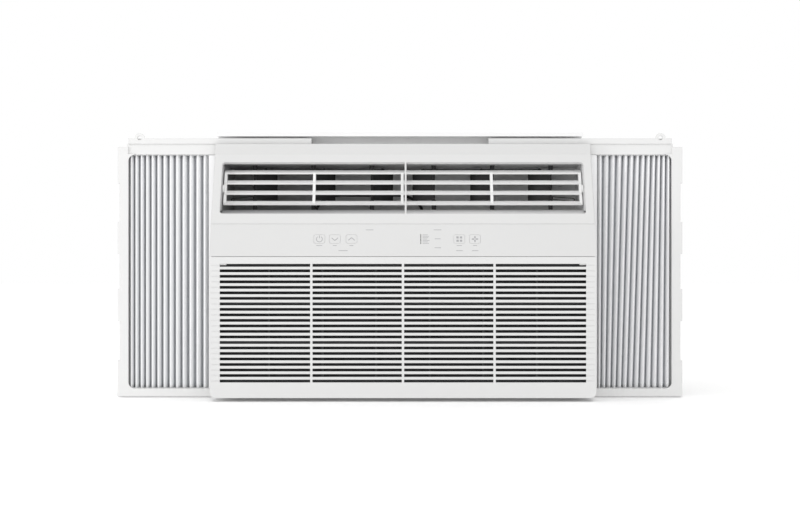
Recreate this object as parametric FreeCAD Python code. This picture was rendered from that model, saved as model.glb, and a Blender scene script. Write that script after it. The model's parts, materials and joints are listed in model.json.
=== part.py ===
"""Window air conditioner with its sliding side curtains, as separate pieces in one frame.

Millimetres. +X is to the right seen from the room, +Y points outdoors, +Z is up. The origin is at
sill level, under the middle of the window kit. The unit itself is drawn about its own middle and
sits unit_shift to the right of the kit's middle.
"""
import FreeCAD, Part
import math
import os
from FreeCAD import Vector

# ---- overall sizes -------------------------------------------------------------------------
panel_width = 600.0
panel_top = 406.0
panel_bottom = 6.0
overall_depth = 564.0
front_y = -overall_depth / 2
back_y = overall_depth / 2
unit_shift = 4.6
curtain_reach = 152.8          # curtain drawn out past the side of the panel
gap = 0.3                      # standing gap between pieces that move apart
seat = 0.02                    # gap round a pin or tube that is pressed or brazed in place
running = 0.05                 # radial clearance of a turning pin

# ---- front panel ---------------------------------------------------------------------------
strip_height = 50.4            # control strip
strip_lean = 16.0              # how far the strip runs back over its height
slope_height = 113.0           # discharge bezel
slope_run = 52.0
band_height = 17.0
panel_wall = 2.8
door_depth = 18.0
door_gap = 0.6
panel_depth = 74.0
fascia_thickness = 2.4

# ---- cabinet -------------------------------------------------------------------------------
cabinet_inset = 4.0            # cabinet side, inside the panel's side
cabinet_drop = 18.0            # cabinet top, below the panel's top
sheet = 1.0
pan_floor = 15.0
pan_sheet = 1.2
pan_rim = 25.0
guard_depth = 12.0
skirt = 2.0                    # cabinet side's lower edge, above the sill of the pan
head_radius = 4.0
head_height = 2.0
tab_width = 16.0
tab_reach = 10.0               # tabs turned in under the top sheet
vent_setback = 150.0
vent_columns = 3
vent_step = 36.0
vent_length = 26.0
vent_slit = 4.0
vent_rows = 14
vent_row_pitch = 16.0
vent_rise = 75.0
top_vent_count = 11
top_vent_pitch = 38.0

# ---- intake grille -------------------------------------------------------------------------
grille_wall = 2.5
grille_face = 2.8
slot_pitch = 8.54
slot_height = 4.4
slot_margin_top = 13.2
slot_margin_bottom = 24.0
slot_margin_side = 16.0
grille_ribs = 3
rib_width = 3.7
grille_corner = 9.0
hinge_rise = 6.0               # hinge line above the grille's lower edge
hinge_setback = 10.0           # hinge line behind the grille's face
hinge_pin = 2.0
lug_radius = 4.0
lug_width = 4.0
lug_inset = 8.0
filter_setback = 10.0
filter_depth = 5.0
filter_rise = 22.0
filter_drop = 8.0
filter_rim = 6.0
filter_bar = 3.0
filter_columns = 7
filter_bays = 3
mesh_thickness = 0.6

# ---- discharge opening and louvre ----------------------------------------------------------
opening_inset = 13.0           # opening's side, inside the panel's side
opening_start = 18.7           # along the slope, from its lower edge
opening_length = 91.0
opening_corner = 4.5
rim_depth = 6.0                # rim round the opening, from the slope's face
rim_wall = 1.6
apron_run = 26.0               # apron from the rim back to the duct's floor
brace_width = 3.0
brace_depth = 2.0
brace_x = 4.3
louvre_recess = 11.0           # louvre line behind the slope's face
louvre_middle = 68.1           # along the slope
louvre_inset = 15.8            # louvre's end, inside the panel's side
slat_count = 4
slat_pitch = 18.46
slat_chord = 12.0
slat_front = 3.0
slat_back = 1.6
slat_droop = 25.0
divider_width = 4.4
louvre_pin = 2.4
louvre_hub = 6.5

# ---- discharge duct and vanes --------------------------------------------------------------
duct_wall = 2.0
duct_floor_rise = 24.0         # duct floor above the slope's lower edge
duct_height = 74.0
duct_inset = 14.0
duct_narrow = 160.0            # duct's right wall slants in to this at the back
vane_setback = 110.0           # vane pivots behind the panel's front
vane_first = 50.3              # innermost vane pivot, from the middle
vane_inset = 45.7              # outermost vane pivot, inside the duct's side
vanes_per_side = 3
vane_chord = 44.0
vane_thickness = 2.0
vane_height = 48.0
vane_lift = 18.0               # vane's lower edge above the duct floor
vane_angle = 50.0
vane_pin = 2.0
vane_boss = 3.6
link_offset = 22.0
link_pin = 1.6
link_thickness = 2.6
lever_length = 47.0
lever_height = 6.0
lever_wire = 1.5
lever_droop = 6.0

# ---- keys ----------------------------------------------------------------------------------
key_width = 17.0
key_height = 14.0
key_corner = 3.0
key_gap = 0.25
key_rise = 28.4                # key line along the strip, from its lower edge
key_stroke = 0.8
key_stem = 2.5
key_places = {"power": -130.0, "temp_down": -106.0, "temp_up": -80.0, "mode": 87.6, "fan": 112.0}
board_setback = 11.5
board_half = 150.0
window_margin = 10.0           # panel's window round the display board
window_low = 6.0
window_high = 4.4
post_radius = 2.5
post_inset = 12.0
led_x = 27.7
led_count = 7
led_pitch = 2.3

# ---- window kit ----------------------------------------------------------------------------
kit_setback = 77.7             # front of the curtain frames behind the panel's front
kit_depth = 16.6
rail_inset = 6.5               # rail end, inside the panel's side
rail_sheet = 1.2
rail_play = 0.5
rail_height = 36.2
lip_height = 5.7
bar_width = 16.8
bar_bottom = 1.1
arm_bottom_height = 13.1
arm_top_gap = 1.5              # curtain's upper arm above the cabinet
arm_top_height = 26.0
arm_step = 17.0
arm_reach = 142.0              # inner end of each arm from the middle
eye_radius = 8.0
eye_hole = 3.5
eye_x = 35.0                   # eye inside the frame's outer edge
curtain_corner = 11.0
curtain_wall = 2.2
notch_depth = 3.0
notch_spans = [(59.3, 122.1), (173.7, 230.0), (281.5, 343.4)]
strip_in = 0.6                 # bellows strip, outside the panel's side
strip_out = 11.3
pleat_count = 13
pleat_depth = 11.0
pleat_sheet = 1.2
rail_screw = 2.25
sash_screw_x = 200.0
sill_screw_x = 220.0

# ---- refrigeration and air side ------------------------------------------------------------
fan_x = -50.0
fan_z = 172.0
shaft_radius = 6.0
wheel_radius = 100.0
wheel_width = 68.0
wheel_blades = 30
scroll_wall = 1.5
tongue_radius = 106.0
scroll_growth = 32.0
evaporator_depth = 52.0
evaporator_inset_left = 25.0   # evaporator's ends, inside the cabinet's sides
evaporator_inset_right = 116.0
fin_sheet = 0.6
tube_radius = 3.5
tube_wall = 0.5
tube_pitch = 25.0
tube_overhang = 1.0
condenser_depth = 30.0
condenser_fan_radius = 143.0
fan_blades = 5
fan_width = 30.0
shroud_clearance = 4.0
motor_radius = 55.0
motor_length = 96.0
compressor_radius = 58.0
compressor_height = 220.0
compressor_inset = 111.0       # compressor's axis, inside the cabinet's side
compressor_y = 30.0
accumulator_radius = 19.0
accumulator_height = 130.0
gland_bore = 4.5
gland_radius = 8.0
drain_bore = 7.5

# ---- places worked out from the sizes above ------------------------------------------------
half = panel_width / 2
slope_top = panel_top - band_height
slope_bottom = slope_top - slope_height
strip_bottom = slope_bottom - strip_height
strip_top_y = front_y + strip_lean
band_y = strip_top_y + slope_run
panel_back = front_y + panel_depth
strip_angle = math.degrees(math.atan2(strip_lean, strip_height))
slope_angle = math.degrees(math.atan2(slope_run, slope_height))
slope_length = math.hypot(slope_run, slope_height)
slope_up = (slope_run / slope_length, slope_height / slope_length)
slope_in = (slope_up[1], -slope_up[0])
door_back = front_y + door_depth
frame_front = door_back + 2.4
door_top = strip_bottom - door_gap
hinge_y = front_y + hinge_setback
hinge_z = panel_bottom + hinge_rise
lug_x = half - lug_inset - lug_width
filter_front = front_y + filter_setback
filter_low = panel_bottom + filter_rise
filter_high = door_top - filter_drop

cabinet_half = half - cabinet_inset
cabinet_top = panel_top - cabinet_drop
cabinet_front = band_y + panel_wall + gap
cabinet_back = back_y - guard_depth - gap
pan_half = cabinet_half - sheet - 0.2
pan_front = panel_back + 2.0
pan_back = cabinet_back - 2.0
pan_top = pan_floor + pan_sheet

louvre_y = strip_top_y + louvre_middle * slope_up[0] + louvre_recess * slope_in[0]
louvre_z = slope_bottom + louvre_middle * slope_up[1] + louvre_recess * slope_in[1]
louvre_end = half - louvre_inset
duct_half = half - duct_inset
duct_floor = slope_bottom + duct_floor_rise
duct_ceiling = duct_floor + duct_height
vane_y = front_y + vane_setback
vane_spacing = (duct_half - vane_inset - vane_first) / (vanes_per_side - 1)
vane_bottom = duct_floor + vane_lift
vane_top = vane_bottom + vane_height
link_z = vane_top + 2 * gap

kit_front = front_y + kit_setback
kit_back = kit_front + kit_depth
curtain_edge = half + curtain_reach
curtain_bar = curtain_edge - bar_width
arm_bottom_top = bar_bottom + arm_bottom_height
arm_top_z = cabinet_top + arm_top_gap
arm_top_end = arm_top_z + arm_top_height

evaporator_front = panel_back + 6.0
evaporator_back = evaporator_front + evaporator_depth
evaporator_left = -cabinet_half + evaporator_inset_left
evaporator_right = cabinet_half - evaporator_inset_right
evaporator_bottom = pan_top + 20.0
evaporator_top = duct_floor - duct_wall - 14.0
wheel_front = evaporator_back + 10.0
wheel_back = wheel_front + wheel_width
scroll_front = wheel_front - 3.5
scroll_back = wheel_back + 6.0
bulkhead_y = scroll_back + 8.0
duct_back = scroll_back
motor_front = bulkhead_y + 8.0
motor_back = motor_front + motor_length
compressor_x = cabinet_half - compressor_inset
condenser_back = cabinet_back - 8.0
condenser_front = condenser_back - condenser_depth
condenser_fin_half = cabinet_half - 25.0
condenser_bottom = pan_top + gap
condenser_top = cabinet_top - 13.0
fan_back = condenser_front - 90.0
fan_front = fan_back - fan_width


# ---- shape helpers -------------------------------------------------------------------------
def box(x0, x1, y0, y1, z0, z1):
    return Part.makeBox(x1 - x0, y1 - y0, z1 - z0, Vector(x0, y0, z0))


def rod(radius, start, end):
    way = Vector(*end) - Vector(*start)
    return Part.makeCylinder(radius, way.Length, Vector(*start), way)


def tube(outer, inner, start, end):
    return rod(outer, start, end).cut(rod(inner, start, end))


def fuse(shapes):
    return shapes[0].fuse(shapes[1:]).removeSplitter()


def group(shapes):
    return Part.makeCompound(shapes)


def polygon_face(points):
    return Part.Face(Part.makePolygon(points + [points[0]]))


def prism_x(points, x0, x1):
    """Solid from an outline of (y, z) points, drawn out from x0 to x1."""
    return polygon_face([Vector(x0, y, z) for y, z in points]).extrude(Vector(x1 - x0, 0, 0))


def prism_y(points, y0, y1):
    """Solid from an outline of (x, z) points, drawn out from y0 to y1."""
    return polygon_face([Vector(x, y0, z) for x, z in points]).extrude(Vector(0, y1 - y0, 0))


def prism_z(points, z0, z1):
    """Solid from an outline of (x, y) points, drawn out from z0 to z1."""
    return polygon_face([Vector(x, y, z0) for x, y in points]).extrude(Vector(0, 0, z1 - z0))


def rounded_plate(x0, x1, z0, z1, y0, y1, radius):
    """Plate that faces -Y with its four corners rounded."""
    plate = box(x0, x1, y0, y1, z0, z1)
    corners = [e for e in plate.Edges if abs(e.Vertexes[0].Y - e.Vertexes[1].Y) > (y1 - y0) / 2]
    return plate.makeFillet(radius, corners)


def lean(shape, y, z, angle):
    """Tip a shape drawn upright at the origin back by angle, and set it on the line (y, z)."""
    placed = shape.copy()
    placed.rotate(Vector(0, 0, 0), Vector(1, 0, 0), -angle)
    placed.translate(Vector(0, y, z))
    return placed


def mirrored(shape):
    return shape.mirror(Vector(0, 0, 0), Vector(1, 0, 0))


def bent_path(points, radius):
    """Wire of straight runs through the points, with a tangent arc at each inner point."""
    points = [Vector(*p) for p in points]
    edges = []
    start = points[0]
    for before, corner, after in zip(points, points[1:], points[2:]):
        back = (before - corner).normalize()
        ahead = (after - corner).normalize()
        opening = back.getAngle(ahead)
        reach = radius / math.tan(opening / 2)
        bisector = (back + ahead).normalize()
        middle = corner + bisector * (radius / math.sin(opening / 2) - radius)
        arc_start = corner + back * reach
        arc_end = corner + ahead * reach
        edges.append(Part.LineSegment(start, arc_start).toShape())
        edges.append(Part.Arc(arc_start, middle, arc_end).toShape())
        start = arc_end
    edges.append(Part.LineSegment(start, points[-1]).toShape())
    return Part.Wire(edges)


def pipe(points, radius, bend):
    path = bent_path(points, bend)
    way = Vector(*points[1]) - Vector(*points[0])
    ring = Part.Wire(Part.Circle(Vector(*points[0]), way, radius).toShape())
    return path.makePipeShell([ring], True, False)


def save(name, shape, shift=unit_shift):
    placed = shape.copy()
    placed.translate(Vector(shift, 0, 0))
    placed.exportStep("parts/" + name + ".step")
    print(f"{name:24s} solids {len(placed.Solids):3d}  volume {placed.Volume / 1000:9.2f} cm3"
          f"  valid {placed.isValid()}")


# ---- front panel ---------------------------------------------------------------------------
def slope_point(along, inward=0.0):
    """(y, z) of a point on the discharge slope, or behind its face."""
    y = strip_top_y + along * slope_up[0] + inward * slope_in[0]
    z = slope_bottom + along * slope_up[1] + inward * slope_in[1]
    return y, z


def opening_plate(depth_start, depth_end, grow=0.0):
    """Rounded plate of the discharge opening's size, lying in the slope."""
    side = half - opening_inset + grow
    plate = rounded_plate(-side, side, opening_start - grow, opening_start + opening_length + grow,
                          depth_start, depth_end, opening_corner + grow)
    return lean(plate, strip_top_y, slope_bottom, slope_angle)


def front_panel():
    fascia_back = fascia_thickness / math.cos(math.radians(strip_angle))
    strip_wall = panel_wall / math.cos(math.radians(strip_angle))
    slope_wall = panel_wall / math.cos(math.radians(slope_angle))
    slope_rate = slope_run / slope_height
    strip_rate = strip_lean / strip_height
    outer = [(panel_back, panel_bottom), (frame_front, panel_bottom), (frame_front, strip_bottom),
             (front_y + fascia_back, strip_bottom), (strip_top_y + fascia_back, slope_bottom),
             (strip_top_y, slope_bottom), (band_y, slope_top), (band_y, panel_top),
             (panel_back, panel_top)]
    strip_inner = strip_top_y + fascia_back + strip_wall
    crease = slope_bottom + (strip_inner - strip_top_y - slope_wall) / slope_rate
    band_inner = band_y + panel_wall
    band_start = slope_bottom + (band_inner - strip_top_y - slope_wall) / slope_rate
    low = strip_bottom + panel_wall
    inner = [(panel_back + 1, panel_bottom + grille_wall),
             (frame_front + grille_wall, panel_bottom + grille_wall),
             (frame_front + grille_wall, low),
             (front_y + fascia_back + strip_wall + panel_wall * strip_rate, low),
             (strip_inner, slope_bottom), (strip_inner, crease), (band_inner, band_start),
             (band_inner, panel_top + 1), (panel_back + 1, panel_top + 1)]
    inside = cabinet_half + gap
    shell = prism_x(outer, -half, half).cut(prism_x(inner, -inside, inside))
    intake = box(-half + 14, half - 14, frame_front - 1, frame_front + 5, panel_bottom + 16,
                 strip_bottom - 12)
    side = board_half + window_margin
    window = lean(box(-side, side, -1, board_setback + 3, window_low, strip_height - window_high),
                  front_y, strip_bottom, strip_angle)
    shell = shell.cut(group([intake, window]))
    rim = opening_plate(panel_wall - 0.5, rim_depth, rim_wall)
    shell = fuse([shell, rim]).cut(opening_plate(-5, 12))
    lugs = []
    for side in (-1, 1):
        near = side * lug_x
        far = side * (lug_x + lug_width)
        arm = box(min(near, far), max(near, far), hinge_y, frame_front + 1,
                  hinge_z - lug_radius, hinge_z + lug_radius)
        lugs.append(fuse([arm, rod(lug_radius, (near, hinge_y, hinge_z), (far, hinge_y, hinge_z))]))
    brace = lean(box(brace_x - brace_width / 2, brace_x + brace_width / 2, 0, brace_depth,
                     opening_start - 1, opening_start + opening_length + 1),
                 strip_top_y, slope_bottom, slope_angle)
    shell = fuse([shell, brace] + lugs)
    bores = rod(hinge_pin + running, (-half, hinge_y, hinge_z), (half, hinge_y, hinge_z))
    return shell.cut(bores)


# ---- control strip -------------------------------------------------------------------------
def key_cap(grow=0.0, y0=0.0, y1=fascia_thickness):
    width = key_width / 2 + grow
    height = key_height / 2 + grow
    return rounded_plate(-width, width, key_rise - height, key_rise + height, y0, y1, key_corner + grow)


def control_fascia():
    rise = strip_height
    depth = fascia_thickness / math.cos(math.radians(strip_angle))
    outline = [(front_y, strip_bottom), (strip_top_y, slope_bottom),
               (strip_top_y + depth, slope_bottom), (front_y + depth, strip_bottom)]
    plate = prism_x(outline, -half, half)
    holes = []
    for x in key_places.values():
        hole = key_cap(key_gap, -1, fascia_thickness + 1)
        hole.translate(Vector(x, 0, 0))
        holes.append(lean(hole, front_y, strip_bottom, strip_angle))
    for n in range(led_count):
        z = key_rise - (led_count - 1) * led_pitch / 2 + n * led_pitch
        holes.append(lean(rod(0.9, (led_x, -1, z), (led_x, fascia_thickness + 1, z)),
                          front_y, strip_bottom, strip_angle))
    posts = []
    for x in (-board_half + 1.5 * post_radius, board_half - 1.5 * post_radius):
        for z in (post_inset, rise - post_inset):
            post = rod(post_radius, (x, fascia_thickness - 0.5, z), (x, board_setback, z))
            posts.append(lean(post, front_y, strip_bottom, strip_angle))
    return fuse([plate.cut(group(holes))] + posts)


def key(x):
    """Flush key cap with a retaining flange and a stem that works the switch behind it."""
    flange_y = fascia_thickness + 0.5
    flange = key_cap(1.0, flange_y, flange_y + 1)
    neck = key_cap(-1.5, fascia_thickness - 0.5, flange_y + 0.5)
    stem = rod(key_stem, (0, flange_y, key_rise), (0, flange_y + 4, key_rise))
    cap = fuse([key_cap(), neck, flange, stem])
    cap.translate(Vector(x, 0, 0))
    return lean(cap, front_y, strip_bottom, strip_angle)


def display_board():
    stem_end = fascia_thickness + 0.5 + 4
    board = box(-board_half, board_half, board_setback, board_setback + 1.6, 8, strip_height - 8)
    pieces = [board]
    for x in key_places.values():
        pieces.append(box(x - 3, x + 3, stem_end + key_stroke + 0.4, board_setback + 0.5,
                          key_rise - 3, key_rise + 3))
    for n in range(led_count):
        z = key_rise - (led_count - 1) * led_pitch / 2 + n * led_pitch
        pieces.append(rod(0.75, (led_x, fascia_thickness + 0.3, z), (led_x, board_setback + 0.5, z)))
    pieces.append(box(-60, -20, board_setback + 1.4, board_setback + 7, 14, 36))
    return lean(fuse(pieces), front_y, strip_bottom, strip_angle)


# ---- intake grille and filter --------------------------------------------------------------
def grille_rows():
    """Heights of the intake slots, from the top down."""
    first = door_top - slot_margin_top
    count = int((first - panel_bottom - slot_margin_bottom) / slot_pitch) + 1
    return [first - n * slot_pitch for n in range(count)]


def intake_grille():
    tray = box(-half, half, front_y, door_back, panel_bottom, door_top)
    lower = [e for e in tray.Edges if abs(e.Vertexes[0].Y - e.Vertexes[1].Y) > 1
             and e.Vertexes[0].Z < panel_bottom + 1]
    tray = tray.makeFillet(grille_corner, lower)
    tray = tray.cut(box(-half + grille_wall, half - grille_wall, front_y + grille_face, door_back + 1,
                        panel_bottom + grille_wall, door_top - grille_wall))
    reach = half - slot_margin_side
    bay = 2 * reach / (grille_ribs + 1)
    slots = []
    for z in grille_rows():
        for n in range(grille_ribs + 1):
            x0 = -reach + n * bay + (rib_width / 2 if n > 0 else 0)
            x1 = -reach + (n + 1) * bay - (rib_width / 2 if n < grille_ribs else 0)
            slots.append(box(x0, x1, front_y - 1, front_y + grille_face + 1,
                             z - slot_height / 2, z + slot_height / 2))
    for side in (-1, 1):
        middle = side * (lug_x + lug_width / 2)
        slots.append(box(middle - 4.5, middle + 4.5, hinge_y - 5, door_back + 1,
                         panel_bottom - 1, panel_bottom + grille_wall + 0.5))
    tray = tray.cut(group(slots))
    pins = []
    for side in (-1, 1):
        pins.append(rod(hinge_pin, (side * (lug_x - 2), hinge_y, hinge_z),
                        (side * (half - 1), hinge_y, hinge_z)))
    rails = []
    for z in (panel_bottom + 17, door_top - 13):
        for x in (-reach, reach - 10):
            rails.append(box(x, x + 10, front_y + 2, front_y + 10, z, z + 2.5))
    return fuse([tray] + pins + rails)


def air_filter():
    side = half - grille_wall - 2 * gap
    back = filter_front + filter_depth
    frame = box(-side, side, filter_front, back, filter_low, filter_high)
    width = (2 * side - filter_rim * 2 - (filter_columns - 1) * filter_bar) / filter_columns
    height = (filter_high - filter_low - filter_rim * 2 - (filter_bays - 1) * filter_bar) / filter_bays
    cells = []
    for c in range(filter_columns):
        for r in range(filter_bays):
            x = -side + filter_rim + c * (width + filter_bar)
            z = filter_low + filter_rim + r * (height + filter_bar)
            cells.append(box(x, x + width, filter_front - 1, back + 1, z, z + height))
    return frame.cut(group(cells))


def filter_mesh():
    side = half - grille_wall - 2 * gap - 2
    y = filter_front + filter_depth
    return box(-side, side, y, y + mesh_thickness, filter_low + 2, filter_high - 2)


# ---- louvre --------------------------------------------------------------------------------
def slat_point(along, behind, up=0.0):
    """(y, z) on a louvre slat: along the slope, then back along its chord, then across it."""
    tip = math.radians(slat_droop)
    y = louvre_y + along * slope_up[0] + behind * math.cos(tip) - up * math.sin(tip)
    z = louvre_z + along * slope_up[1] + behind * math.sin(tip) + up * math.cos(tip)
    return y, z


def louvre_frame():
    first = (slat_count - 1) / 2 * slat_pitch
    pieces = []
    for n in range(slat_count):
        along = first - n * slat_pitch
        outline = [slat_point(along, 0, -slat_front / 2), slat_point(along, 0, slat_front / 2),
                   slat_point(along, slat_chord, slat_back / 2), slat_point(along, slat_chord, -slat_back / 2)]
        pieces.append(prism_x(outline, -louvre_end + 1, louvre_end - 1))
    plate = [slat_point(first, 0.4, slat_front / 2), slat_point(first, slat_chord, slat_back / 2),
             slat_point(-first, slat_chord, -slat_back / 2), slat_point(-first, 0.4, -slat_front / 2)]
    bay = (louvre_end - divider_width / 2) / 2
    for n in range(-2, 3):
        middle = n * bay - (1.0 if n == 0 else 0)
        pieces.append(prism_x(plate, middle - divider_width / 2, middle + divider_width / 2))
    for side in (-1, 1):
        hub_end = duct_half - gap
        pieces.append(rod(louvre_hub, (side * (louvre_end - 1), louvre_y, louvre_z),
                          (side * hub_end, louvre_y, louvre_z)))
        pieces.append(rod(louvre_pin, (side * (louvre_end - 1), louvre_y, louvre_z),
                          (side * (duct_half + duct_wall), louvre_y, louvre_z)))
    return fuse(pieces)


# ---- discharge duct ------------------------------------------------------------------------
def scroll_outlet():
    """X of the two sides of the blower's outlet."""
    return fan_x - 20.0, fan_x + tongue_radius + scroll_growth


def duct_apron():
    """(y, z) outline of the plate that rises from the opening's lower edge to the duct's floor."""
    y, z = slope_point(opening_start, rim_depth + gap)
    back = y + apron_run
    return [(y, z), (back, duct_floor), (back, duct_floor - duct_wall), (y, z - duct_wall)]


def discharge_duct():
    turn_y = vane_y + vane_chord - 5.0
    far = duct_narrow
    start = front_y
    outer = [(-duct_half - duct_wall, start), (duct_half + duct_wall, start),
             (duct_half + duct_wall, turn_y + duct_wall), (far + 2 * duct_wall, duct_back + duct_wall),
             (-duct_half - duct_wall, duct_back + duct_wall)]
    inner = [(-duct_half, start - 1), (duct_half, start - 1), (duct_half, turn_y),
             (far, duct_back), (-duct_half, duct_back)]
    shell = prism_z(outer, duct_floor - duct_wall, duct_ceiling + duct_wall)
    shell = shell.cut(prism_z(inner, duct_floor, duct_ceiling))
    front = lean(box(-half - 5, half + 5, -80, rim_depth + gap, -60, slope_length + 60),
                 strip_top_y, slope_bottom, slope_angle)
    left, right = scroll_outlet()
    mouth = box(left, right, scroll_front + scroll_wall, duct_back, duct_floor - 5, duct_floor + 1)
    apron = duct_apron()
    over = box(-duct_half, duct_half, front_y, apron[1][0], duct_floor - duct_wall - 1, duct_floor)
    shell = shell.cut(group([front, mouth, over]))
    bosses = [prism_x(apron, -duct_half - duct_wall, duct_half + duct_wall)]
    for x in vane_places():
        bosses.append(rod(vane_boss, (x, vane_y, duct_floor - 1), (x, vane_y, vane_bottom - gap)))
        bosses.append(rod(vane_boss, (x, vane_y, vane_top + gap), (x, vane_y, duct_ceiling + 1)))
    shell = fuse([shell] + bosses)
    holes = [rod(vane_pin + running, (x, vane_y, duct_floor + 4), (x, vane_y, duct_ceiling - 1))
             for x in vane_places()]
    holes.append(rod(louvre_pin + running, (-half, louvre_y, louvre_z), (half, louvre_y, louvre_z)))
    return shell.cut(group(holes))


# ---- vanes ---------------------------------------------------------------------------------
def vane_places():
    right = [vane_first + n * vane_spacing for n in range(vanes_per_side)]
    return [-x for x in reversed(right)] + right


def vane(side, x, with_lever):
    """Upright vane with its front edge on the pivot, turned towards the middle of the duct."""
    pieces = [box(-vane_thickness / 2, vane_thickness / 2, 0, vane_chord, vane_bottom, vane_top),
              rod(vane_pin, (0, 0, duct_floor + 5), (0, 0, duct_ceiling - 2)),
              rod(link_pin, (0, link_offset, vane_top - 1), (0, link_offset, link_z + link_thickness + 0.8))]
    if with_lever:
        loop = lever_height / 2
        outer = fuse([box(-1, 1, -lever_length + loop, 0, -loop, loop),
                      rod(loop, (-1, -lever_length + loop, 0), (1, -lever_length + loop, 0))])
        slot = loop - lever_wire
        inner = fuse([box(-2, 2, -lever_length + loop, -4, -slot, slot),
                      rod(slot, (-2, -lever_length + loop, 0), (2, -lever_length + loop, 0))])
        lever = outer.cut(inner)
        lever.rotate(Vector(0, 0, 0), Vector(1, 0, 0), lever_droop)
        lever.translate(Vector(0, 0, vane_bottom + loop + 0.5))
        pieces.append(lever)
    blade = fuse(pieces)
    blade.rotate(Vector(0, 0, 0), Vector(0, 0, 1), side * vane_angle)
    blade.translate(Vector(x, vane_y, 0))
    return blade


def vane_link(side):
    """Flat bar that joins the three vanes of one side at their middle pins."""
    places = [x for x in vane_places() if x * side > 0]
    turn = math.radians(vane_angle)
    pins = [(x - side * link_offset * math.sin(turn), vane_y + link_offset * math.cos(turn)) for x in places]
    first_x = pins[0][0]
    last_x = pins[-1][0]
    y = pins[0][1]
    top = link_z + link_thickness
    pieces = [box(first_x, last_x, y - 1.5, y + 1.5, link_z, top)]
    pieces += [rod(3.4, (px, py, link_z), (px, py, top)) for px, py in pins]
    bar = fuse(pieces)
    leader = max(range(len(pins)), key=lambda n: abs(places[n]))
    holes = []
    for n, (px, py) in enumerate(pins):
        play = running if n == leader else gap
        holes.append(rod(link_pin + play, (px, py, link_z - 1), (px, py, top + 1)))
    return bar.cut(group(holes))


# ---- window kit ----------------------------------------------------------------------------
def top_rail():
    """C-shaped rail on the cabinet's top, open towards the room."""
    end = half - rail_inset
    front = kit_front - rail_play
    back = kit_back + rail_play
    z0 = cabinet_top
    z1 = cabinet_top + rail_height
    thin = arm_top_gap - 0.4
    pieces = [box(-end, end, front - rail_sheet, back + rail_sheet, z0, z0 + thin),
              box(-end, end, back, back + rail_sheet, z0, z1),
              box(-end, end, front - rail_sheet, back + rail_sheet, z1 - rail_sheet, z1),
              box(-end, end, front - rail_sheet, front, z1 - lip_height, z1),
              box(-end, end, front - rail_sheet, front, z0, z0 + 6)]
    rail = fuse(pieces)
    z = z0 + rail_height / 2
    holes = [rod(rail_screw, (x, back - 1, z), (x, back + rail_sheet + 1, z)) 
             for x in (-sash_screw_x, sash_screw_x)]
    return rail.cut(group(holes))


def bottom_rail():
    """Channel under the base pan that the curtains' lower arms slide in."""
    end = half - rail_inset
    front = kit_front - rail_play
    back = kit_back + rail_play
    thin = bar_bottom - gap
    pieces = [box(-end, end, front - rail_sheet, back + rail_sheet, 0, thin),
              box(-end, end, front - rail_sheet, front, 0, 5.0),
              box(-end, end, back, back + rail_sheet, 0, pan_floor),
              box(-end, end, back, back + 18, pan_floor - rail_sheet, pan_floor)]
    rail = fuse(pieces)
    y = (kit_front + kit_back) / 2
    holes = [rod(rail_screw, (x, y, -1), (x, y, thin + 1)) for x in (-sill_screw_x, sill_screw_x)]
    return rail.cut(group(holes))


def curtain_frame():
    """Right-hand curtain frame: outer bar, two arms and the screw eye."""
    outer = curtain_edge
    bar = curtain_bar
    arm_low = box(arm_reach, outer, kit_front, kit_back, bar_bottom, arm_bottom_top)
    arm_high = box(arm_reach, bar + 2, kit_front + 2, kit_back, arm_top_z, arm_top_z + arm_step)
    arm_flange = box(arm_reach, bar, kit_front, kit_back, arm_top_z + arm_step, arm_top_end)
    upright = box(bar, outer, kit_front, kit_back, bar_bottom, arm_top_z + 12)
    corners = []
    for z, way in ((arm_bottom_top, 1), (arm_top_z, -1)):
        square = box(bar - curtain_corner, bar + 1, kit_front, kit_front + curtain_wall,
                     min(z - way, z + way * curtain_corner), max(z - way, z + way * curtain_corner))
        x = bar - curtain_corner
        centre_z = z + way * curtain_corner
        rounding = rod(curtain_corner, (x, kit_front - 1, centre_z), (x, kit_back + 1, centre_z))
        corners.append(square.cut(rounding))
    eye_at = outer - eye_x
    eye_z = arm_top_end + 0.4
    eye = rod(eye_radius, (eye_at, kit_front, eye_z), (eye_at, kit_front + 4, eye_z))
    frame = fuse([arm_low, arm_high, arm_flange, upright, eye] + corners)
    hollow = curtain_wall
    cuts = [rod(eye_hole, (eye_at, kit_front - 1, eye_z), (eye_at, kit_front + 5, eye_z)),
            box(arm_reach - 1, bar - curtain_corner - 2, kit_front + 2 + hollow, kit_back + 1,
                arm_top_z + hollow, arm_top_end - hollow),
            box(arm_reach - 1, bar - curtain_corner - 2, kit_front + hollow, kit_back + 1,
                bar_bottom + hollow, arm_bottom_top - hollow),
            box(bar + hollow, outer - hollow - notch_depth, kit_front + hollow, kit_back + 1,
                arm_bottom_top, arm_top_z)]
    for z0, z1 in notch_spans:
        cuts.append(box(outer - notch_depth, outer + 1, kit_front - 1, kit_back + 1, z0, z1))
    return frame.cut(group(cuts))


def bellows(inner):
    """Pleated sheet from the strip on the cabinet to the curtain frame's bar."""
    x0 = inner + gap
    x1 = curtain_bar - gap
    step = (x1 - x0) / (2 * pleat_count)
    near = kit_front + curtain_wall + gap
    far = near + pleat_depth
    front = [(x0 + n * step, near if n % 2 == 0 else far) for n in range(2 * pleat_count + 1)]
    back = [(x, y + pleat_sheet) for x, y in reversed(front)]
    return prism_z(front + back, arm_bottom_top + 2 * gap, arm_top_z - 2 * gap)


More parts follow.
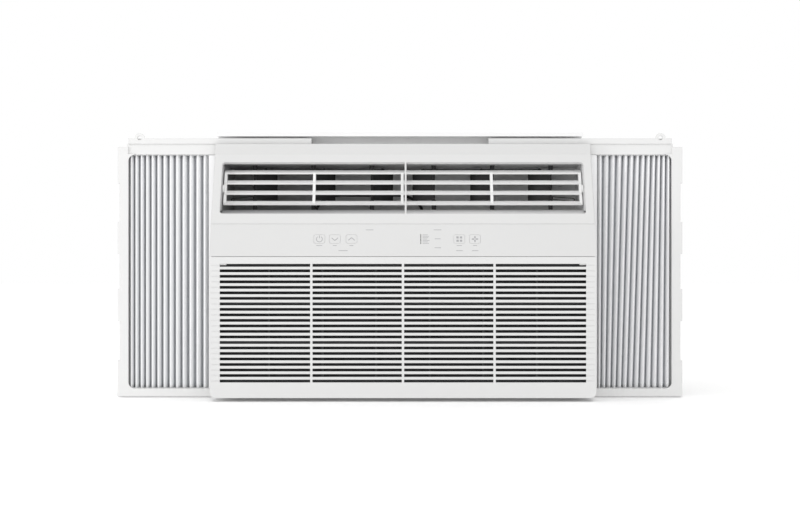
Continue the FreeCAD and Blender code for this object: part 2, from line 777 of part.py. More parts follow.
def bellows_strip():
    """Right-hand channel strip that holds the bellows to the cabinet's side."""
    z0 = pan_floor
    z1 = cabinet_top - gap
    back = kit_back + 1
    side = cabinet_half + 0.2
    pieces = [box(side, half + strip_out, back, back + rail_sheet, z0, z1),
              box(half + strip_in, half + strip_out, kit_front, kit_front + rail_sheet, z0, z1),
              box(half + strip_in, half + strip_in + rail_sheet, kit_front, back + rail_sheet, z0, z1),
              box(side, side + rail_sheet, back, back + 18, z0 + 12, z1 - 1)]
    return fuse(pieces)


# ---- cabinet -------------------------------------------------------------------------------
def vent_fronts():
    """Y of the front end of each column of vent slots."""
    return [cabinet_back - vent_setback + n * vent_step for n in range(vent_columns)]


def tab_places():
    """Y of the middle of each tab that holds the top sheet."""
    return [cabinet_front + 60, bulkhead_y + 60, cabinet_back - 60]


def cabinet_top_sheet():
    """Flat top sheet, with slots over the condenser fan."""
    plate = box(-cabinet_half, cabinet_half, cabinet_front, cabinet_back, cabinet_top - sheet, cabinet_top)
    first = -(top_vent_count - 1) / 2 * top_vent_pitch - vent_length / 2
    slots = []
    for y in vent_fronts():
        for n in range(top_vent_count):
            x = first + n * top_vent_pitch
            slots.append(box(x, x + vent_length, y + 20, y + 20 + vent_slit,
                             cabinet_top - sheet - 1, cabinet_top + 1))
    return plate.cut(group(slots))


def cabinet_side():
    """Right-hand side sheet, with tabs turned in under the top sheet."""
    inside = cabinet_half - sheet
    top = cabinet_top - sheet
    wall = box(inside, cabinet_half, cabinet_front, cabinet_back, pan_floor + skirt, top)
    tabs = [box(cabinet_half - tab_reach, cabinet_half, y - tab_width / 2, y + tab_width / 2, top - sheet, top)
            for y in tab_places()]
    slots = []
    for y in vent_fronts():
        for row in range(vent_rows):
            z = pan_floor + vent_rise + row * vent_row_pitch
            slots.append(box(inside - 1, cabinet_half + 1, y, y + vent_length, z, z + vent_slit))
    return fuse([wall] + tabs).cut(group(slots))


def cabinet_side_right():
    """The right-hand side sheet also takes the gland of the supply lead."""
    hole = rod(gland_radius + 0.2, (cabinet_half - 5, gland_y(), gland_z()),
               (cabinet_half + 5, gland_y(), gland_z()))
    return cabinet_side().cut(hole)


def cabinet_side_left():
    return mirrored(cabinet_side())


def gland_y():
    return cabinet_front + 65.0


def gland_z():
    return pan_floor + 45.0


def cord_gland():
    """Bush through the cabinet's right side where the supply lead enters."""
    y = gland_y()
    z = gland_z()
    inside = cabinet_half - sheet
    pieces = [rod(gland_radius, (inside - 5, y, z), (cabinet_half + 8, y, z)),
              rod(gland_radius + 4, (cabinet_half + 0.1, y, z), (cabinet_half + 3, y, z)),
              rod(gland_radius + 4, (inside - 4, y, z), (inside - 0.1, y, z))]
    return fuse(pieces).cut(rod(gland_bore, (inside - 6, y, z), (cabinet_half + 9, y, z)))


def base_pan():
    pan = box(-pan_half, pan_half, pan_front, pan_back, pan_floor, pan_floor + pan_rim)
    pan = pan.cut(box(-pan_half + pan_sheet, pan_half - pan_sheet, pan_front + pan_sheet,
                      pan_back - pan_sheet, pan_top, pan_floor + pan_rim + 1))
    foot_y = back_y - 110
    feet = [box(x, x + 60, foot_y, foot_y + 60, 0, pan_floor + 0.5) for x in (-pan_half + 50, pan_half - 110)]
    drain_x, drain_y = drain_place()
    spout = rod(drain_bore + 2.5, (drain_x, drain_y, pan_floor - 6), (drain_x, drain_y, pan_floor + 0.5))
    pan = fuse([pan, spout] + feet)
    return pan.cut(rod(drain_bore, (drain_x, drain_y, pan_floor - 7), (drain_x, drain_y, pan_top + 1)))


def drain_place():
    return -pan_half + 150.0, back_y - 82.0


def rear_guard():
    z0 = pan_floor
    guard = box(-cabinet_half, cabinet_half, back_y - guard_depth, back_y, z0, cabinet_top)
    rim = 12.0
    guard = guard.cut(box(-cabinet_half + 2, cabinet_half - 2, back_y - guard_depth - 1, back_y - 3,
                          z0 + 2, cabinet_top - 2))
    columns = 28
    rows = 4
    pitch_x = (2 * cabinet_half - 2 * rim) / columns
    pitch_z = (cabinet_top - z0 - 2 * rim) / rows
    slots = []
    for c in range(columns):
        for r in range(rows):
            x = -cabinet_half + rim + c * pitch_x
            z = z0 + rim + r * pitch_z
            slots.append(box(x + 2, x + pitch_x - 2, back_y - 5, back_y + 1, z + 3, z + pitch_z - 3))
    return guard.cut(group(slots))


# ---- coils ---------------------------------------------------------------------------------
def coil_tubes(z0, z1, rows_y):
    """(y, z) of each tube of a coil, row by row."""
    count = int((z1 - z0 - tube_pitch) / tube_pitch) + 1
    start = (z0 + z1 - (count - 1) * tube_pitch) / 2
    return [(y, start + n * tube_pitch) for y in rows_y for n in range(count)]


def fin_pack(x0, x1, y0, y1, z0, z1, tubes, count):
    """Thin fins side by side with a hole for each tube."""
    outline = Part.makePolygon([Vector(x0, y0, z0), Vector(x0, y1, z0), Vector(x0, y1, z1),
                                Vector(x0, y0, z1), Vector(x0, y0, z0)])
    rings = [Part.Wire(Part.Circle(Vector(x0, y, z), Vector(1, 0, 0), tube_radius + seat).toShape())
             for y, z in tubes]
    plate = Part.Face([outline] + rings)
    plate.validate()
    fins = []
    for n in range(count):
        thick = fin_sheet if 0 < n < count - 1 else 2.0
        fin = plate.extrude(Vector(thick, 0, 0))
        fin.translate(Vector((x1 - x0 - 2.0) * n / (count - 1), 0, 0))
        fins.append(fin)
    return group(fins)


def return_bend(x, y, z0, z1, way):
    """Hollow half-ring that joins two tubes; way is 1 at the right-hand ends, -1 at the left."""
    rings = [Part.Wire(Part.Circle(Vector(x, y, z0), Vector(1, 0, 0), r).toShape())
             for r in (tube_radius, tube_radius - tube_wall)]
    face = Part.Face(rings)
    face.validate()
    return face.revolve(Vector(x, y, (z0 + z1) / 2), Vector(0, -way, 0), 180)


def serpentine(x0, x1, tubes, overhang):
    """Hollow tubes through the fins, joined by return bends; the last tube ends open on the right."""
    pieces = []
    for y, z in tubes:
        pieces.append(tube(tube_radius, tube_radius - tube_wall, (x0 - overhang, y, z), (x1 + overhang, y, z)))
    for y in sorted({y for y, z in tubes}):
        heights = sorted(z for row_y, z in tubes if row_y == y)
        for n, (low, high) in enumerate(zip(heights, heights[1:])):
            way = 1 if (len(heights) - n) % 2 == 1 else -1
            x = x1 + overhang if way > 0 else x0 - overhang
            pieces.append(return_bend(x, y, low, high, way))
    return group(pieces)


def evaporator_rows():
    return coil_tubes(evaporator_bottom, evaporator_top,
                      (evaporator_front + evaporator_depth * 0.25, evaporator_front + evaporator_depth * 0.75))


def condenser_rows():
    return coil_tubes(condenser_bottom, condenser_top, ((condenser_front + condenser_back) / 2,))


def evaporator_coil():
    return fin_pack(evaporator_left, evaporator_right, evaporator_front, evaporator_back,
                    evaporator_bottom, evaporator_top, evaporator_rows(), 32)


def evaporator_tubes():
    return serpentine(evaporator_left, evaporator_right, evaporator_rows(), tube_overhang)


def condenser_coil():
    return fin_pack(-condenser_fin_half, condenser_fin_half, condenser_front, condenser_back,
                    condenser_bottom, condenser_top, condenser_rows(), 38)


def condenser_tubes():
    return serpentine(-condenser_fin_half, condenser_fin_half, condenser_rows(), tube_overhang)


def drain_tray():
    x0 = evaporator_left - 4
    x1 = evaporator_right + 4
    y0 = evaporator_front - 1
    y1 = evaporator_back + 1
    tray = box(x0, x1, y0, y1, pan_top, evaporator_bottom - 1)
    tray = tray.cut(box(x0 + 2, x1 - 2, y0 + 2, y1 - 2, pan_top + 2, evaporator_bottom))
    rests = [box(x, x + 4, y0 + 1, y1 - 1, pan_top + 1, evaporator_bottom)
             for x in (evaporator_left + 60, 0, evaporator_right - 60)]
    return fuse([tray] + rests)


def thermistor():
    z = (evaporator_bottom + evaporator_top) / 2 + 40
    y = evaporator_front - 2.6
    bulb = rod(2.2, (-90, y, z), (-62, y, z))
    clip = box(-80, -76, y - 2.8, evaporator_front - 0.05, z - 4, z + 4)
    return fuse([bulb, clip])


# ---- blower --------------------------------------------------------------------------------
def scroll_outline(y, grow):
    """Closed outline of the blower housing: a spiral in four arcs and an upright outlet."""
    radii = [tongue_radius + scroll_growth * share + grow for share in (0, 0.25, 0.625, 1)]
    between = [(a + b) / 2 for a, b in zip(radii, radii[1:])]
    left = -20.0 - grow
    top = duct_floor - duct_wall - fan_z

    def at(x, z):
        return Vector(fan_x + x, y, fan_z + z)

    tongue = math.sqrt(radii[0] ** 2 - left ** 2)
    start = at(left, tongue)
    west = at(-radii[1], 0)
    south = at(0, -radii[2])
    east = at(radii[3], 0)
    slant = math.sqrt(0.5)
    arcs = [Part.Arc(start, at(-between[0] * slant, between[0] * slant), west),
            Part.Arc(west, at(-between[1] * slant, -between[1] * slant), south),
            Part.Arc(south, at(between[2] * slant, -between[2] * slant), east)]
    corners = [east, at(radii[3], top), at(left, top), start]
    edges = [arc.toShape() for arc in arcs]
    edges += [Part.LineSegment(a, b).toShape() for a, b in zip(corners, corners[1:])]
    return Part.Face(Part.Wire(edges))


def blower_scroll():
    front = scroll_front + scroll_wall
    back = scroll_back
    outer = scroll_outline(front, scroll_wall).extrude(Vector(0, back - front, 0))
    legs = [box(fan_x + x, fan_x + x + 8, front, back, pan_top, fan_z - 90) for x in (-70, 62)]
    body = fuse([outer] + legs)
    inner = scroll_outline(front - 1, 0).extrude(Vector(0, back - scroll_wall - front + 1, 0))
    left, right = scroll_outlet()
    mouth = box(left, right, front - 1, back - scroll_wall, duct_floor - 30, duct_floor)
    return body.cut(group([inner, mouth])).cut(rod(18, (fan_x, front, fan_z), (fan_x, back + 1, fan_z)))


def blower_orifice():
    plate = scroll_outline(scroll_front, scroll_wall).extrude(Vector(0, scroll_wall, 0))
    ring_radius = wheel_radius - 18
    lip = tube(ring_radius + 1.5, ring_radius, (fan_x, scroll_front, fan_z), (fan_x, scroll_front + 4, fan_z))
    plate = plate.cut(rod(ring_radius, (fan_x, scroll_front - 1, fan_z), (fan_x, scroll_front + 9, fan_z)))
    return fuse([plate, lip])


def blower_wheel():
    axis = [(fan_x, y, fan_z) for y in (wheel_front + 2, wheel_front + 4, wheel_back - 2, wheel_back)]
    disc = rod(wheel_radius - 1, axis[2], axis[3])
    ring = tube(wheel_radius, wheel_radius - 14, axis[0], axis[1])
    hub = rod(14, (fan_x, wheel_back - 22, fan_z), axis[3])
    blades = []
    for n in range(wheel_blades):
        blade = box(wheel_radius - 14, wheel_radius - 2, wheel_front + 3, wheel_back - 1, -0.6, 0.6)
        blade.rotate(Vector(wheel_radius - 8, 0, 0), Vector(0, 1, 0), 30)
        blade.rotate(Vector(0, 0, 0), Vector(0, 1, 0), 360 * n / wheel_blades)
        blade.translate(Vector(fan_x, 0, fan_z))
        blades.append(blade)
    wheel = fuse([disc, ring, hub] + blades)
    return wheel.cut(rod(shaft_radius + seat, (fan_x, wheel_front, fan_z), (fan_x, wheel_back + 1, fan_z)))


# ---- motor, fan and their mounts -----------------------------------------------------------
def bulkhead():
    side = pan_half - pan_sheet - gap
    plate = box(-side, side, bulkhead_y, bulkhead_y + pan_sheet, pan_top, cabinet_top - sheet - gap)
    holes = [rod(20, (fan_x, bulkhead_y - 1, fan_z), (fan_x, bulkhead_y + 3, fan_z)),
             rod(9, (suction_x(), bulkhead_y - 1, suction_z()), (suction_x(), bulkhead_y + 3, suction_z())),
             rod(4, (side_run(), bulkhead_y - 1, pan_top + 24), (side_run(), bulkhead_y + 3, pan_top + 24))]
    return plate.cut(group(holes))


def fan_motor():
    body = [rod(motor_radius, (fan_x, motor_front + 13, fan_z), (fan_x, motor_back - 13, fan_z)),
            rod(motor_radius - 7, (fan_x, motor_front, fan_z), (fan_x, motor_back, fan_z)),
            rod(15, (fan_x, motor_front - 4, fan_z), (fan_x, motor_back + 4, fan_z))]
    bore = rod(shaft_radius + running, (fan_x, motor_front - 5, fan_z), (fan_x, motor_back + 5, fan_z))
    return fuse(body).cut(bore)


def motor_bracket():
    base = box(fan_x - 75, fan_x + 75, motor_front + 12, motor_back - 12, pan_top, pan_top + 2)
    stands = [box(fan_x - 48, fan_x + 48, y, y + 2.5, pan_top + 1, fan_z - 12)
              for y in (motor_front + 18, motor_back - 20.5)]
    cradle = rod(motor_radius + seat, (fan_x, motor_front, fan_z), (fan_x, motor_back, fan_z))
    return fuse([base] + stands).cut(cradle)


def motor_shaft():
    return rod(shaft_radius, (fan_x, wheel_front + 20, fan_z), (fan_x, fan_back + 8, fan_z))


def condenser_fan():
    hub = rod(28, (fan_x, fan_front, fan_z), (fan_x, fan_back, fan_z))
    slinger = tube(condenser_fan_radius, condenser_fan_radius - 4, (fan_x, fan_front + 6, fan_z),
                   (fan_x, fan_back - 6, fan_z))
    middle = (fan_front + fan_back) / 2
    blades = []
    for n in range(fan_blades):
        tip = condenser_fan_radius - 2
        outline = [(24, -14), (70, -34), (tip, -30), (tip, 30), (24, 14)]
        blade = prism_y(outline, -1.1, 1.1)
        blade.rotate(Vector(0, 0, 0), Vector(1, 0, 0), 26)
        blade.translate(Vector(0, middle, 0))
        blade.rotate(Vector(0, 0, 0), Vector(0, 1, 0), 360 * n / fan_blades)
        blade.translate(Vector(fan_x, 0, fan_z))
        blades.append(blade.cut(tube(condenser_fan_radius + 30, condenser_fan_radius - 0.5,
                                     (fan_x, middle - 40, fan_z), (fan_x, middle + 40, fan_z))))
    fan = fuse([hub, slinger] + blades)
    return fan.cut(rod(shaft_radius + seat, (fan_x, fan_front - 1, fan_z), (fan_x, fan_back + 1, fan_z)))


def fan_shroud():
    opening = condenser_fan_radius + shroud_clearance
    side = condenser_fin_half
    plate_y = fan_back + 6
    low = condenser_bottom
    high = condenser_top
    cover = box(-side, side, plate_y, condenser_front - gap, low, high)
    cover = cover.cut(box(-side + 1.5, side - 1.5, plate_y + 1.5, condenser_front, low + 1.5, high - 1.5))
    ring = rod(opening + 2, (fan_x, fan_front + 4, fan_z), (fan_x, plate_y + 1, fan_z))
    cover = fuse([cover, ring])
    return cover.cut(rod(opening, (fan_x, fan_front, fan_z), (fan_x, plate_y + 3, fan_z)))


# ---- compressor ----------------------------------------------------------------------------
def compressor_bottom():
    return pan_top + 14.0


def can(x, y, z0, z1, radius, crown):
    """Round can with rounded ends about an upright axis."""
    body = rod(radius, (x, y, z0), (x, y, z1))
    rims = [e for e in body.Edges if e.Closed]
    return body.makeFillet(crown, rims)


def mount_places():
    reach = compressor_radius + 12
    return [(compressor_x + reach * math.cos(math.radians(a)), compressor_y + reach * math.sin(math.radians(a)))
            for a in (100, 220, 340)]


def compressor():
    """Welded can on its foot plate, with the accumulator strapped to its side."""
    z0 = compressor_bottom()
    shell = can(compressor_x, compressor_y, z0 - 2, z0 + compressor_height, compressor_radius, 24)
    feet = [rod(14, (x, y, z0), (x, y, z0 + 3)) for x, y in mount_places()]
    plate = rod(compressor_radius + 6, (compressor_x, compressor_y, z0), (compressor_x, compressor_y, z0 + 3))
    body = fuse([plate, shell, accumulator()] + feet)
    holes = [rod(6.5, (x, y, z0 - 1), (x, y, z0 + 4)) for x, y in mount_places()]
    return body.cut(group(holes))


def compressor_grommets():
    z0 = compressor_bottom()
    bushes = []
    for x, y in mount_places():
        bush = fuse([rod(10, (x, y, pan_top), (x, y, z0 - seat)), rod(6.4, (x, y, pan_top), (x, y, z0 + 7))])
        bushes.append(bush.cut(rod(4.1, (x, y, pan_top - 1), (x, y, z0 + 8))))
    return group(bushes)


def compressor_studs():
    z0 = compressor_bottom()
    return group([fuse([rod(4, (x, y, pan_top), (x, y, z0 + 14)), rod(8, (x, y, z0 + 7), (x, y, z0 + 11))])
                  for x, y in mount_places()])


def accumulator_place():
    return compressor_x + compressor_radius + accumulator_radius + 5, compressor_y - 50


def accumulator():
    x, y = accumulator_place()
    z0 = compressor_bottom() + 50
    shell = can(x, y, z0, z0 + accumulator_height, accumulator_radius, 10)
    strap = box(compressor_x + compressor_radius - 12, x - 6, y + 14, y + 17,
                z0 + 50, z0 + 66)
    return fuse([shell, strap])


# ---- pipes ---------------------------------------------------------------------------------
def suction_x():
    return evaporator_right + 60.0


def suction_z():
    return evaporator_rows()[-1][1]


def side_run():
    """X of the pipes that run along the right-hand side of the cabinet."""
    return cabinet_half - sheet - 6.0


def discharge_pipe():
    y, z = condenser_rows()[-1]
    start = compressor_bottom() + compressor_height
    high = z - 30
    points = [(compressor_x, compressor_y, start), (compressor_x, compressor_y, high),
              (side_run(), compressor_y, high), (side_run(), y, high), (side_run(), y, z),
              (condenser_fin_half + tube_overhang + seat, y, z)]
    return pipe(points, 4.0, 9.0)


def suction_pipe():
    x, y = accumulator_place()
    row_y, z = evaporator_rows()[-1]
    start = evaporator_right + tube_overhang + seat
    top = compressor_bottom() + 50 + accumulator_height
    points = [(start, row_y, z), (suction_x(), row_y, z), (suction_x(), y, z), (x, y, z), (x, y, top)]
    return pipe(points, 5.0, 12.0)


def capillary_tube():
    """Thin tube from the condenser's lowest tube to the evaporator's."""
    low = pan_top + 24
    row_y, row_z = evaporator_rows()[0]
    cond_y, cond_z = condenser_rows()[0]
    across = scroll_back + 3.0
    end_x = evaporator_right + 3.5
    points = [(condenser_fin_half + tube_overhang + seat, cond_y, cond_z), (side_run(), cond_y, cond_z),
              (side_run(), cond_y - 40, low), (side_run(), across, low), (end_x, across, low),
              (end_x, row_y, low), (end_x, row_y, row_z - tube_radius)]
    return pipe(points, 1.3, 5.0)


# ---- electrics -----------------------------------------------------------------------------
def control_span():
    """Control box: x0, x1, y0, y1, z0, z1."""
    return (evaporator_right + 22, cabinet_half - sheet - 14, evaporator_front + 2, scroll_back - 12,
            pan_top, pan_top + 200)


def control_box():
    x0, x1, y0, y1, z0, z1 = control_span()
    case = box(x0, x1, y0, y1, z0, z1)
    return case.cut(box(x0 + 2, x1 - 2, y0 - 1, y1 - 2, z0 + 2, z1 - 2))


def main_board():
    x0, x1, y0, y1, z0, z1 = control_span()
    board_y = y1 - 2 - 10
    low = z1 - 110
    pieces = [box(x0 + 5, x1 - 5, board_y - 1.6, board_y, low, z1 - 8),
              box(x0 + 10, x0 + 30, board_y - 18, board_y - 1, low + 10, low + 32),
              box(x0 + 36, x0 + 56, board_y - 18, board_y - 1, low + 10, low + 32),
              box(x0 + 12, x0 + 46, board_y - 32, board_y - 1, low + 50, low + 80),
              rod(6, (x1 - 20, board_y - 26, low + 60), (x1 - 20, board_y - 1, low + 60))]
    for x in (x0 + 9, x1 - 9):
        for z in (low + 4, z1 - 12):
            pieces.append(rod(2.5, (x, board_y - 1, z), (x, y1 - 2, z)))
    return fuse(pieces)


def run_capacitor():
    x0, x1, y0, y1, z0, z1 = control_span()
    x = (x0 + x1) / 2
    y = y0 + 40
    can = rod(20, (x, y, z0 + 2), (x, y, z0 + 76))
    tabs = [box(x + dx - 0.4, x + dx + 0.4, y - 3, y + 3, z0 + 75, z0 + 84) for dx in (-8, 8)]
    return fuse([can] + tabs)


# ---- screws --------------------------------------------------------------------------------
def sheet_screws():
    """Equal screw heads: a side has four in the pan's rim, three in the top's tabs and three in its strip."""
    heads = []
    for side in (-1, 1):
        for n in range(4):
            y = cabinet_front + 80 + n * (cabinet_back - cabinet_front - 110) / 3
            z = pan_floor + 14
            heads.append(rod(head_radius, (side * (cabinet_half + seat), y, z),
                             (side * (cabinet_half + head_height), y, z)))
        for y in tab_places():
            x = side * (cabinet_half - tab_reach / 2)
            heads.append(rod(head_radius, (x, y, cabinet_top + seat), (x, y, cabinet_top + head_height)))
        for n in range(3):
            x = cabinet_half + 0.2 + rail_sheet
            y = kit_back + 12
            z = pan_floor + 60 + n * 130
            heads.append(rod(head_radius, (side * (x + seat), y, z), (side * (x + head_height), y, z)))
    return group(heads)


# ---- everything ----------------------------------------------------------------------------
def main():
    os.makedirs("parts", exist_ok=True)
    save("front_panel", front_panel())
    save("control_fascia", control_fascia())
    save("intake_grille", intake_grille())
    save("air_filter", air_filter())
    save("filter_mesh", filter_mesh())
    save("louvre_frame", louvre_frame())
    save("discharge_duct", discharge_duct())
    save("display_board", display_board())
    for name, x in key_places.items():
        save("key_" + name, key(x))
    for side, word in ((-1, "left"), (1, "right")):
        places = sorted((x for x in vane_places() if x * side > 0), key=abs, reverse=True)
        for n, x in enumerate(places):
            save(f"vane_{word}_{n + 1}", vane(side, x, n == 0))
        save("vane_link_" + word, vane_link(side))
    save("top_rail", top_rail(), 0)
    save("bottom_rail", bottom_rail(), 0)
    frame = curtain_frame()
    save("curtain_frame_right", frame, 0)
    save("curtain_frame_left", mirrored(frame), 0)
    save("bellows_right", bellows(half + strip_out + unit_shift), 0)
    save("bellows_left", mirrored(bellows(half + strip_out - unit_shift)), 0)
    strip = bellows_strip()
    save("bellows_strip_right", strip)
    save("bellows_strip_left", mirrored(strip))
    for name, make in INSIDE.items():
        save(name, make())


INSIDE = {
    "cabinet_top_sheet": cabinet_top_sheet, "cabinet_side_left": cabinet_side_left,
    "cabinet_side_right": cabinet_side_right, "base_pan": base_pan, "rear_guard": rear_guard,
    "cord_gland": cord_gland, "sheet_screws": sheet_screws,
    "evaporator_coil": evaporator_coil, "evaporator_tubes": evaporator_tubes,
    "condenser_coil": condenser_coil, "condenser_tubes": condenser_tubes,
    "drain_tray": drain_tray, "thermistor": thermistor,
    "blower_scroll": blower_scroll, "blower_orifice": blower_orifice, "blower_wheel": blower_wheel,
    "bulkhead": bulkhead, "fan_motor": fan_motor, "motor_bracket": motor_bracket,
    "motor_shaft": motor_shaft, "condenser_fan": condenser_fan, "fan_shroud": fan_shroud,
    "compressor": compressor, "compressor_grommets": compressor_grommets,
    "compressor_studs": compressor_studs,
    "discharge_pipe": discharge_pipe, "suction_pipe": suction_pipe, "capillary_tube": capillary_tube,
    "control_box": control_box, "main_board": main_board, "run_capacitor": run_capacitor,
}

main()
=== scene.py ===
# %% [markdown]
# # A window air conditioner, dressed in Blender
#
# An engineering program has already made this air conditioner piece by piece, with its hinges and
# slides. Here it gets what an engineering model lacks: plastic that looks moulded, pleats that
# look folded, screws with a cross in their heads, and light. Each step says first what the
# piece or finish is on the real machine, then how it could be made, then why it is made this way.

import json
import math

import bpy
import numpy as np
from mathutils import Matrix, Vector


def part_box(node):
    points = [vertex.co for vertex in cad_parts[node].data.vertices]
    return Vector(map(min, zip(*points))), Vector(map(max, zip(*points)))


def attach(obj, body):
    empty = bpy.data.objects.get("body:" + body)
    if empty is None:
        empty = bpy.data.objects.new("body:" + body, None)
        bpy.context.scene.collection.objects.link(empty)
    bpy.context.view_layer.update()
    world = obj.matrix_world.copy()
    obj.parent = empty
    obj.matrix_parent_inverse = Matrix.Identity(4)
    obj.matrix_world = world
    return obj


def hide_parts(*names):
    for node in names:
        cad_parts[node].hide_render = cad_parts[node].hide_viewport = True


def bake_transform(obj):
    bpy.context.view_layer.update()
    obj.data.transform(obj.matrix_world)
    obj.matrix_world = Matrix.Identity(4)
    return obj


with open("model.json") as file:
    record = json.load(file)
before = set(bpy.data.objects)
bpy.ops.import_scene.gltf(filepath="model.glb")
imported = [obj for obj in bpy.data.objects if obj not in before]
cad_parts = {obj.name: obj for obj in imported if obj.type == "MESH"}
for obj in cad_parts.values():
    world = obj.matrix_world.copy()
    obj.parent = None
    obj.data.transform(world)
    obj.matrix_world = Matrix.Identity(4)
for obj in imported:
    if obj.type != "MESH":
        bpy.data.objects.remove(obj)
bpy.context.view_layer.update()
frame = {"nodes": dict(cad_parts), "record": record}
nodes = frame["nodes"]
unit_middle = 0.0046           # x of the machine's middle: its two curtains are drawn out unequally

# %% [markdown]
# ## Camera
#
# The machine is seen from the room, straight on, with the lens level at about half its height, so
# upright edges stay upright. A short lens close by would spread the corners; a long lens far
# away flattens the depth of the outlet. A 64 mm lens at about two and a half metres keeps both in
# proportion. The camera looks along +Y, which is a quarter turn up from Blender's downward rest.

# %% Room camera
lens_length = 63.9             # millimetres
camera_place = (0.0, -2.482, 0.2115)
camera_data = bpy.data.cameras.new("room_camera")
camera_data.lens = lens_length
camera_data.sensor_width = 36.0
camera_data.clip_end = 60.0
camera = bpy.data.objects.new("room_camera", camera_data)
camera.location = camera_place
camera.rotation_euler = (math.radians(90.0), 0.0, 0.0)
bpy.context.scene.collection.objects.link(camera)
bpy.context.scene.camera = camera

# %% [markdown]
# ## Floor and light
#
# White plastic on white needs an even white surround: what gives it shape is the small shade in
# its slots and under its lips, not a strong lamp. A white world does most of the work. One large
# lamp above and before the machine makes faces that look up a little brighter than faces that
# look down, and one far to the left gives the folds of the side curtains a light side and a dark
# side. The world keeps plain white, so the floor fades into it.

# %% Floor, world and lamps
floor_size = 14.0


def flat_floor(name, reach):
    """A square of four corners at height 0: x and y each run from -reach to +reach."""
    x, y = np.meshgrid(np.array([-reach, reach]), np.array([-reach, reach]))
    points = np.stack([x, y, np.zeros_like(x)], axis=-1).reshape(-1, 3)
    mesh = bpy.data.meshes.new(name)
    mesh.from_pydata(points.tolist(), [], [(0, 1, 3, 2)])
    floor = bpy.data.objects.new(name, mesh)
    bpy.context.scene.collection.objects.link(floor)
    return floor


def soft_lamp(name, place, aim, size, power):
    """A square area lamp at place, turned so that it shines at aim."""
    lamp_data = bpy.data.lights.new(name, "AREA")
    lamp_data.shape = "SQUARE"
    lamp_data.size = size
    lamp_data.energy = power
    lamp = bpy.data.objects.new(name, lamp_data)
    lamp.location = place
    way = np.array(aim) - np.array(place)
    flat = math.hypot(way[0], way[1])
    lamp.rotation_euler = (math.atan2(flat, -way[2]), 0.0, math.atan2(-way[0], way[1]))
    bpy.context.scene.collection.objects.link(lamp)
    return lamp


floor = flat_floor("floor", floor_size)
world = bpy.data.worlds.new("white_room")
world.use_nodes = True
world.node_tree.nodes["Background"].inputs["Color"].default_value = (1.0, 1.0, 1.0, 1.0)
world.node_tree.nodes["Background"].inputs["Strength"].default_value = 1.0
bpy.context.scene.world = world
bpy.context.scene.view_settings.view_transform = "Standard"
lamps = [soft_lamp("lamp_over", (0.2, -1.9, 2.4), (0.0, -0.1, 0.2), 1.8, 8.0),
         soft_lamp("lamp_left", (-3.4, -1.5, 0.9), (0.0, -0.1, 0.2), 1.0, 30.0)]
print("lamps:", [lamp.name for lamp in lamps])

# %% [markdown]
# ## Shader sums written as Python
#
# A material is a small graph of nodes. Wiring a graph by hand hides the sum that it stands for, so
# one class wraps an output socket and turns +, -, *, / and a few named steps into Math nodes. A
# second class, Finish, owns a material and makes every other node with one method: the node's
# type, its settings, and what goes into its sockets.

# %% Wire: a number that changes over a surface
class Wire:
    """An output socket. Python's operators on it add Math nodes to its finish."""

    def __init__(self, finish, socket):
        self.finish = finish
        self.socket = socket

    def sum(self, operation, *others):
        sockets = {n: value for n, value in enumerate((self,) + others)}
        return self.finish.node("Math", {"operation": operation}, sockets).wire()

    def __add__(self, other):
        return self.sum("ADD", other)

    def __radd__(self, other):
        return self.sum("ADD", other)

    def __sub__(self, other):
        return self.sum("SUBTRACT", other)

    def __rsub__(self, other):
        return (self * -1.0) + other

    def __mul__(self, other):
        return self.sum("MULTIPLY", other)

    def __rmul__(self, other):
        return self.sum("MULTIPLY", other)

    def __truediv__(self, other):
        return self.sum("DIVIDE", other)

    def __gt__(self, other):
        return self.sum("GREATER_THAN", other)

    def __lt__(self, other):
        return self.sum("LESS_THAN", other)

    def __abs__(self):
        return self.sum("ABSOLUTE")

    def wave(self):
        return self.sum("SINE")

    def part(self):
        """What is left after the whole number is taken away."""
        return self.sum("FRACT")

    def floor(self):
        return self.sum("FLOOR")

    def clamp(self):
        return self.finish.node("Clamp", {}, {0: self}).wire()

    def ease(self, low, high):
        """0 below low, 1 above high, with a smooth step between."""
        return self.finish.node("MapRange", {"interpolation_type": "SMOOTHSTEP"},
                                {"Value": self, "From Min": low, "From Max": high}).wire()


# %% Finish: a material and its nodes
class Node:
    """A made node: wire(n) wraps its output n."""

    def __init__(self, finish, made):
        self.finish = finish
        self.made = made

    def wire(self, output=0):
        return Wire(self.finish, self.made.outputs[output])


